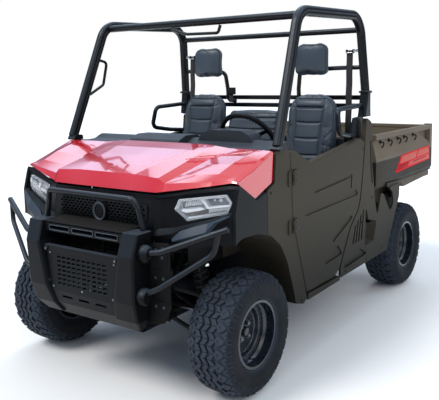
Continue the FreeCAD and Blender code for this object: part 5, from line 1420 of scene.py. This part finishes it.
class UTV_OT_belts(bpy.types.Operator):
    """Thread the shoulder straps through their guides, and fit the reels and buckles"""
    bl_idname = "utv.belts"
    bl_label = "Seat belts"

    def execute(self, context):
        # The strap runs from its guide down to the reel, with a slight ripple that dies out at both ends.
        path = []
        for step in range(41):
            share = step / 40
            ripple = 2.2 * math.sin(6.5 * math.pi * share) * (1 - share) * share * 4
            path.append(at(640, 1302.5 - 20 * share + ripple, 1741 - 533 * share))
        loop = oblong(1290, 1724, 1316, 1748, 6)
        made = [strap("strap", path, 0.044),
                plate("reel", [(1258, 1146, 9), (1300, 1146, 9), (1300, 1209, 12), (1258, 1209, 12)], 620, 663.6, "x",
                      bevel=2.0),
                plate("lip", oblong(1274, 1204, 1292, 1213, 3), 614, 666, "x"),
                plate("guide", oblong(1293, 1730, 1311, 1751, 4), 664, 704, "x", "zinc")]
        made += [plate("cheek", loop, a, b, "x") for a, b in ((616, 622), (660, 666))]
        made += [wire("pin", [at(618, y, z), at(664, y, z)], 0.0032, "zinc", 10)
                 for y, z in ((1293, 1727), (1313, 1745))]
        both_sides(joined("left_shoulder_belt", made), "chassis", "webbing", "seat_belts")
        self.buckles()
        self.middle()
        return {"FINISHED"}

    def buckles(self):
        made = []
        for y, lean in ((992, 0), (940, 8)):
            made += [plate("buckle", [(y - 14, 822, 5), (y + 14, 822, 5), (y + 17, 880, 4), (y - 17, 880, 4)],
                           232.5, 247.5, "x", bevel=2.0),
                     plate("button", [(y - 12, 878, 2), (y + 12, 878, 2), (y + 12, 883, 3), (y - 12, 883, 3)],
                           235, 245, "x", "buckle red"),
                     wire("stalk", rounded([at(240, y + lean, 774), at(240, y, 800), at(240, y, 826)], 0.01), 0.0042,
                          "soft black", 10)]
        both_sides(joined("left_belt_buckles", made), "chassis", "webbing")

    def middle(self):
        """The middle seat's reel on the restraint tube, with its strap down behind the seat."""
        box = plate("reel", oblong(-272, 1230, -226, 1268, 8), 1462, 1512, "z", bevel=3.0)
        clamp = plate("clamp", oblong(-280, 1244, -268, 1262, 3), 1468, 1506, "z", "worn edge")
        path = [at(-249, 1238 + 0.00028 * (1462 - z) ** 2 * 0.4, z) for z in range(1462, 1402, -6)]
        fitted(joined("middle_seat_reel", [box, clamp, strap("strap", path, 0.036)]), "chassis", "webbing")


# ---------------------------------------------------------------- cab trim

class UTV_OT_cab(bpy.types.Operator):
    """Fit the gauge, switches, levers, hand wheel grip, vents and floor ribs"""
    bl_idname = "utv.cab"
    bl_label = "Cab trim"

    def execute(self, context):
        self.dashboard()
        self.hand_wheel()
        self.floor()
        return {"FINISHED"}

    def dashboard(self):
        bezel = plate("bezel", [(244, 1204, 20), (376, 1204, 20), (388, 1262, 26), (232, 1262, 26)], 476, 486, "y",
                      bevel=3.0)
        glass = plate("glass", [(254, 1212, 14), (366, 1212, 14), (376, 1254, 20), (244, 1254, 20)], 484, 488, "y",
                      "lamp black", 1.5)
        marks = [wire("arc", [at(310 + 24 * math.sin(math.radians(a)), 488.6, 1226 + 20 * math.cos(math.radians(a)))
                              for a in range(-80, 81, 10)], 0.0007, "zinc", 6),
                 wire("needle", [at(310, 489, 1226), at(322, 489, 1241)], 0.0008, "buckle red", 6)]
        made = [bezel, glass] + marks
        for step in range(4):
            x = -18 + 36 * step
            made.append(plate("well", oblong(x - 14, 1164, x + 14, 1204, 3), 470, 489.5 + 0.1 * step, "y", bevel=1.2))
            made.append(plate("rocker", [(486, 1168, 1), (494, 1172, 2), (489, 1185, 1), (493, 1198, 2),
                                         (484, 1200, 1)], x - 10, x + 10, "x", "lamp black"))
        for x in (-330, -480):
            made.append(turned("vent", [(0, 0), (0, 0.030), (0.005, 0.034), (0.009, 0.033), (0.009, 0.027),
                                        (0.003, 0.025), (0.003, 0)], "soft black", 32, False, (0, 1, 0.35),
                               at(x, 476, 1192)))
        lever = wire("lever", rounded([at(120, 482, 1120), at(120, 540, 1128), at(120, 592, 1168)], 0.03), 0.0052,
                     "zinc", 12)
        knob = turned("knob", [(-0.004, 0), (-0.002, 0.010), (0.010, 0.0165), (0.026, 0.019), (0.038, 0.0145),
                               (0.043, 0)], "soft black", 24, False, (0, 0.8, 0.6), at(120, 586, 1163), 60)
        brake = wire("brake", rounded([at(196, 470, 1086), at(196, 560, 1076), at(196, 590, 1082)], 0.02), 0.009,
                     "soft black", 12)
        gate = plate("gate", oblong(100, 1096, 140, 1150, 6), 478, 493, "y", bevel=1.5)
        fitted(joined("dash_controls", made + [lever, knob, brake, gate]), "chassis", "black_plastic")

    def hand_wheel(self):
        """Finger bumps under the rim, and a plain hub pad with a bright ring round it."""
        bump = turned("bump", [(-0.0042, 0), (-0.0030, 0.0036), (0, 0.0050), (0.0030, 0.0036), (0.0042, 0)],
                      "soft black", 10, False, (0, 1, 0), (-0.0095, 0, 0.1600), 60)
        bumps = ring_of("bumps", bump, 56)
        pad = turned("pad", [(-0.006, 0), (-0.006, 0.047), (0.002, 0.052), (0.010, 0.049), (0.0155, 0.036),
                             (0.0175, 0.018), (0.018, 0)], "soft black", 48, False)
        ring = turned("ring", [(0.0105, 0.0400), (0.0150, 0.0385), (0.0145, 0.0360), (0.0100, 0.0375)], "zinc", 48)
        whole = joined("hand_wheel_grip", [bumps, pad, ring])
        heading = Vector((0, math.cos(math.radians(35)), math.sin(math.radians(35))))
        whole.data.transform(Matrix.Translation(at(350, 550, 1225)) @ heading.to_track_quat(
            "X", "Z").to_matrix().to_4x4())
        fitted(whole, "hand_wheel", "black_plastic")

    def floor(self):
        """Raised grip ribs on the floor each side of the tunnel."""
        low = (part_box("floor_tub")[0].z + 0.0102) * 1000
        ribs = [plate("rib", [(y, low, 1), (y + 9, low, 1), (y + 7, low + 3.5, 1), (y + 2, low + 3.5, 1)], 190, 600,
                      "x", bevel=0.5) for y in range(420, 661, 24)]
        both_sides(joined("left_floor_ribs", ribs), "chassis", "black_plastic")


# ---------------------------------------------------------------- springs

class UTV_OT_running(bpy.types.Operator):
    """Wind the four coil springs round the dampers"""
    bl_idname = "utv.running"
    bl_label = "Coil springs"

    def execute(self, context):
        springs = []
        for station in (0, 2090):
            foot, head = at(424, 50 + station, 310), at(330, 30 + station, 752)
            along = (head - foot).normalized()
            side = along.cross(Vector((0, 1, 0))).normalized()
            third = along.cross(side)
            span, turns = (head - foot).length, 8.5
            below, above = 0.084, 0.094        # bare damper at the two ends
            radius, thick = 0.0375, 0.0052
            path = []
            for step in range(int(turns * 16) + 1):
                share = step / (turns * 16)
                angle = 2 * math.pi * turns * share
                place = foot + along * (below + (span - below - above) * share)
                path.append(place + (side * math.cos(angle) + third * math.sin(angle)) * radius)
            springs.append(wire("spring", path, thick, "spring grey", 8))
        both_sides(joined("left_coil_springs", springs), "chassis", "frame_steel")
        return {"FINISHED"}


# ---------------------------------------------------------------- hood lines

class UTV_OT_hood(bpy.types.Operator):
    """Lay the raised lines over the hood"""
    bl_idname = "utv.hood"
    bl_label = "Hood lines"

    # Each raised line as places seen from above, in millimetres as for at().
    LINES = [
        [(330, -10), (420, 62), (520, 118), (640, 150)],
        [(368, 48), (420, 96), (486, 128), (510, 130), (516, 112)],
    ]

    def execute(self, context):
        hood = BVHTree.FromObject(NODES["hood"], bpy.context.evaluated_depsgraph_get())
        made = []
        for side in (1, -1):
            for number, line in enumerate(self.LINES):
                path = []
                for x, y in divided([(side * x, y) for x, y in line], 14):
                    hit = hood.ray_cast(at(x, y, 2000), Vector((0, 0, -1)))[0]
                    if hit is not None:
                        path.append(hit - Vector((0, 0, 0.0022)))
                if len(path) > 2:
                    made.append(wire(f"line{side}{number}", path, 0.0046, "hood red", 8))
        fitted(joined("hood_raised_lines", made), "hood_panel", "red_plastic")
        return {"FINISHED"}


# ---------------------------------------------------------------- finishes on the frame

NODE_FINISHES = {
    "black wheel steel": [f"{end}_{side}_wheel" for end in ("front", "rear") for side, _ in SIDES],
    "satin black steel": ["cage_sides", "cage_crossbars", "guard_tubes", "grab_handles", "rear_pillar_bases"],
    "guard black": ["front_guard", "skid_plate"],
    "frame black": ["main_frame", "suspension_arms", "bed_strut_barrel", "steering_column", "radiator"],
    "nose plastic": ["front_fascia", "grille_panel", "steering_wheel"],
    "panel plastic": ["front_fenders", "left_door", "right_door", "rear_quarter_panels", "sill_panels"],
    "bed plastic": ["bed_box", "tailgate"],
    "hood red": ["hood"],
    "dash plastic": ["dash", "floor_tub", "seat_base"],
    "seat vinyl": ["seat_cushions", "seat_backs", "head_restraints"],
    "belt webbing": ["seat_belts"],
    "lamp glass": ["headlights"],
    "tail red": ["tail_lights"],
    "cast alloy": ["engine", "final_drives", "front_left_knuckle", "front_right_knuckle", "rear_hub_carriers"],
    "plated steel": ["bed_strut_rod"],
    "nut steel": ["drive_shafts", "exhaust", "steering_rack"],
    "damper black": ["coil_over_dampers"],
    "tyre rubber": [f"{end}_{side}_tyre" for end in ("front", "rear") for side, _ in SIDES],
}


class UTV_OT_finishes(bpy.types.Operator):
    """Make every finish and dress the frame's nodes in them"""
    bl_idname = "utv.finishes"
    bl_label = "Finishes"

    def execute(self, context):
        colours = context.scene.utv_colours
        dust = tuple(colours.dust)
        painted_red("hood red", tuple(colours.body_red))
        matt_film("decal red", (0.62, 0.004, 0.014))
        matt_film("decal pale", (0.56, 0.12, 0.10))
        matt_film("decal deep", (0.36, 0.003, 0.008))
        moulded_plastic("panel plastic", tuple(colours.panel), dust)
        # The blue second colours of the nose and dash plastics are a painted sky sheen on what faces up.
        moulded_plastic("nose plastic", tuple(colours.nose), (0.040, 0.052, 0.072), 0.38, 1800.0, 0.00015, 0.12)
        moulded_plastic("dash plastic", (0.022, 0.027, 0.035), (0.075, 0.092, 0.120), 0.55, 900.0, 0.0003, 0.3, 0.28)
        # The cheek plastic is a lighter, blue copy of the nose plastic: a painted sky highlight on the facets under
        # the lamps.
        moulded_plastic("cheek plastic", (0.040, 0.056, 0.080), (0.060, 0.076, 0.100), 0.36, 1800.0, 0.00015, 0.2)
        moulded_plastic("soft black", (0.012, 0.012, 0.013), shade(dust, 0.4), 0.7, 700.0, 0.0003, 0.3)
        bed_plastic("bed plastic", tuple(colours.bed), dust)
        # Each powder coat's last colour is a painted sky highlight on what faces up.
        powder_coat("satin black steel", (0.0055, 0.0065, 0.008), 0.3, sky_sheen=(0.045, 0.060, 0.080))
        powder_coat("guard black", (0.0025, 0.0030, 0.0038), 0.4, sky_sheen=(0.055, 0.068, 0.088), gloss=0.12)
        powder_coat("frame black", (0.003, 0.003, 0.0032), 0.5, 0.6, (0.012, 0.013, 0.015))
        powder_coat("damper black", (0.012, 0.012, 0.012), 0.3)
        gloss_steel("black wheel steel", (0.0060, 0.0100, 0.0180), 0.26)
        # The tyre's blue-grey colour paints the sky's reflection on the tread; the near-black second colour is the
        # painted shade of what faces sideways.
        tyre_rubber("tyre rubber", (0.034, 0.044, 0.061), (0.0095, 0.0100, 0.0108))
        # The seat vinyl's blue-grey colour paints the sky's reflection into the vinyl.
        vinyl("seat vinyl", (0.037, 0.052, 0.071), 0.36)
        vinyl("seat piping", (0.008, 0.009, 0.011), 0.5)
        woven_webbing("belt webbing", (0.016, 0.016, 0.018))
        clear_lens("lamp glass")
        chrome("lamp chrome", (0.90, 0.93, 0.97))
        chrome("lamp smoke", (0.16, 0.20, 0.26))
        gloss_steel("lamp black", (0.004, 0.004, 0.005), 0.12)
        gloss_steel("gloss cap", (0.010, 0.011, 0.013), 0.16)
        # Pale blue-grey for edges, rims and bolt heads: partly worn paint, partly a painted sky highlight.
        powder_coat("worn edge", (0.050, 0.060, 0.075), 0.34, sky_sheen=(0.10, 0.12, 0.15))
        powder_coat("spring grey", (0.030, 0.032, 0.035), 0.3)
        painted_red("buckle red", (0.45, 0.01, 0.01), 0.4)
        plated_steel("zinc", (0.60, 0.62, 0.64), 0.26)
        plated_steel("nut steel", (0.20, 0.22, 0.25), 0.3)
        red_lens("tail red", (0.42, 0.004, 0.006))
        # The cast alloy's colour is darker than bare alloy, a painted shade for parts that sit under the vehicle.
        cast_metal("cast alloy", (0.17, 0.175, 0.18))
        plated_steel("plated steel", (0.62, 0.6, 0.56))
        for finish, nodes in NODE_FINISHES.items():
            for node in nodes:
                thing = NODES[node]
                if not thing.material_slots:
                    thing.data.materials.append(finish_of(finish))
                for slot in thing.material_slots:
                    slot.material = finish_of(finish)
        missing = set(NODES) - {node for nodes in NODE_FINISHES.values() for node in nodes}
        if missing:
            raise RuntimeError(f"nodes with no finish: {sorted(missing)}")
        return {"FINISHED"}


# ---------------------------------------------------------------- stage

class UTV_OT_stage(bpy.types.Operator):
    """Lay the pale floor, hang the soft lights and set the camera"""
    bl_idname = "utv.stage"
    bl_label = "Stage"

    # Each sun: its name, the side it shines from, its spread in degrees, its strength and its colour.
    SUNS = (("key", (-2.6, -4.4, 6.0), 24, 1.9, (1.0, 0.98, 0.95)),
            ("side", (5.0, -1.6, 3.2), 40, 0.75, (1.0, 0.93, 0.84)),
            ("rim", (-1.0, 5.0, 3.4), 30, 0.9, (0.92, 0.96, 1.0)))
    VIEWPOINT = (2.40785, -3.71198, 1.55949)
    VIEW_ANGLES = (33.939, 7.392, -0.827)          # azimuth, height and roll, in degrees
    FOCAL_LENGTH, SENSOR_WIDTH = 53.0, 36.0
    SHIFT = (-0.0523, -0.0809)

    def execute(self, context):
        scene, sizes = context.scene, context.scene.utv_stage
        self.camera(scene)
        half = sizes.floor / 2
        floor = mesh_object("floor", [(-half, -half, 0), (half, -half, 0), (half, half, 0), (-half, half, 0)],
                            [(0, 1, 2, 3)])
        pale = Finish("pale floor", roughness=0.7, specular_ior_level=0.1)
        drift = pale.noise(0.6, 2.0)
        pale.coat(colour=pale.mixed(drift, (0.90, 0.90, 0.90), (0.92, 0.92, 0.92)))
        floor.data.materials.append(pale.material)
        self.surroundings(scene, sizes.sky)
        for name, place, spread, power, colour in self.SUNS:
            lamp = bpy.data.lights.new(name, "SUN")
            lamp.angle, lamp.energy, lamp.color = math.radians(spread), power, colour
            holder = linked(name, lamp)
            holder.rotation_euler = (-Vector(place)).to_track_quat("-Z", "Y").to_euler()
            holder.visible_glossy = name != "rim"
        scene.view_settings.view_transform = "Standard"
        scene.view_settings.look = "None"
        return {"FINISHED"}

    def surroundings(self, scene, strength):
        """A white backdrop, and for all it lights a sky that is dark low down, with two windows behind."""
        world = bpy.data.worlds.new("studio")
        world.use_nodes = True
        scene.world = world
        sky = Nodes(world.node_tree)
        aside, back, lift = sky.parts(sky.add("ShaderNodeTexCoord").outputs["Generated"])
        glow = sky.add("ShaderNodeValToRGB", {"stops": [
            (0.0, (0.07, 0.08, 0.10)), (0.14, (0.12, 0.15, 0.20)), (0.42, (0.34, 0.44, 0.60)),
            (1.0, (0.88, 0.95, 1.0))]}, Fac=lift)
        window = (lift.step(0.30, 0.42) * (1.0 - lift.step(0.74, 0.9)) * back.step(0.2, 0.5)
                  * abs(aside).step(0.34, 0.54))
        lit = sky.add("ShaderNodeBackground", Color=glow.outputs[0], Strength=(window * 2.5 + 1.0) * strength)
        seen = sky.add("ShaderNodeBackground", Color=(1.0, 1.0, 1.0, 1.0), Strength=1.0)
        direct = sky.add("ShaderNodeLightPath").outputs["Is Camera Ray"]
        sky.add("ShaderNodeOutputWorld", Surface=sky.add(
            "ShaderNodeMixShader", n0=direct, n1=lit.outputs[0], n2=seen.outputs[0]).outputs[0])

    def camera(self, scene):
        azimuth, height, roll = (math.radians(angle) for angle in self.VIEW_ANGLES)
        back = Vector((math.sin(azimuth) * math.cos(height), -math.cos(azimuth) * math.cos(height), math.sin(height)))
        right = Vector((math.cos(azimuth), math.sin(azimuth), 0))
        up = back.cross(right)
        sideways = right * math.cos(roll) + up * math.sin(roll)
        upwards = up * math.cos(roll) - right * math.sin(roll)
        lens = bpy.data.cameras.new("camera")
        lens.lens, lens.sensor_width, lens.sensor_fit = self.FOCAL_LENGTH, self.SENSOR_WIDTH, "HORIZONTAL"
        lens.shift_x, lens.shift_y = self.SHIFT
        lens.clip_end = 200.0
        camera = linked("camera", lens)
        camera.matrix_world = Matrix.Translation(self.VIEWPOINT) @ Matrix(
            (sideways, upwards, back)).transposed().to_4x4()
        scene.camera = camera


# ---------------------------------------------------------------- panel and order of work

class UTV_PT_panel(bpy.types.Panel):
    """Lists the vehicle's pieces and their sizes"""
    bl_idname = "UTV_PT_panel"
    bl_label = "Utility Vehicle"
    bl_space_type = "VIEW_3D"
    bl_region_type = "UI"
    bl_category = "Utility Vehicle"

    def draw(self, context):
        for group, label, _ in GROUPS:
            box = self.layout.box()
            box.label(text=label)
            held = getattr(context.scene, group)
            for item in held.bl_rna.properties:
                if item.identifier not in ("rna_type", "name"):
                    box.prop(held, item.identifier)
        for kind in OPERATORS:
            self.layout.operator(kind.bl_idname)


GROUPS = [("utv_tyres", "Tyres", TyreSizes), ("utv_seats", "Seats", SeatSizes), ("utv_colours", "Colours", Colours),
          ("utv_stage", "Stage", StageSizes)]
OPERATORS = [UTV_OT_finishes, UTV_OT_stage, UTV_OT_tyres, UTV_OT_seats, UTV_OT_lamps, UTV_OT_front, UTV_OT_wheels,
             UTV_OT_sides, UTV_OT_belts, UTV_OT_cab, UTV_OT_running, UTV_OT_hood]
CLASSES = [kind for _, _, kind in GROUPS] + OPERATORS + [UTV_PT_panel]


def register():
    for kind in CLASSES:
        bpy.utils.register_class(kind)
    for name, _, kind in GROUPS:
        setattr(bpy.types.Scene, name, PointerProperty(type=kind))


def unregister():
    for name, _, _ in GROUPS:
        delattr(bpy.types.Scene, name)
    for kind in reversed(CLASSES):
        bpy.utils.unregister_class(kind)


def main():
    register()
    for kind in OPERATORS:
        getattr(bpy.ops.utv, kind.bl_idname.removeprefix("utv."))()


if __name__ == "__main__":
    main()
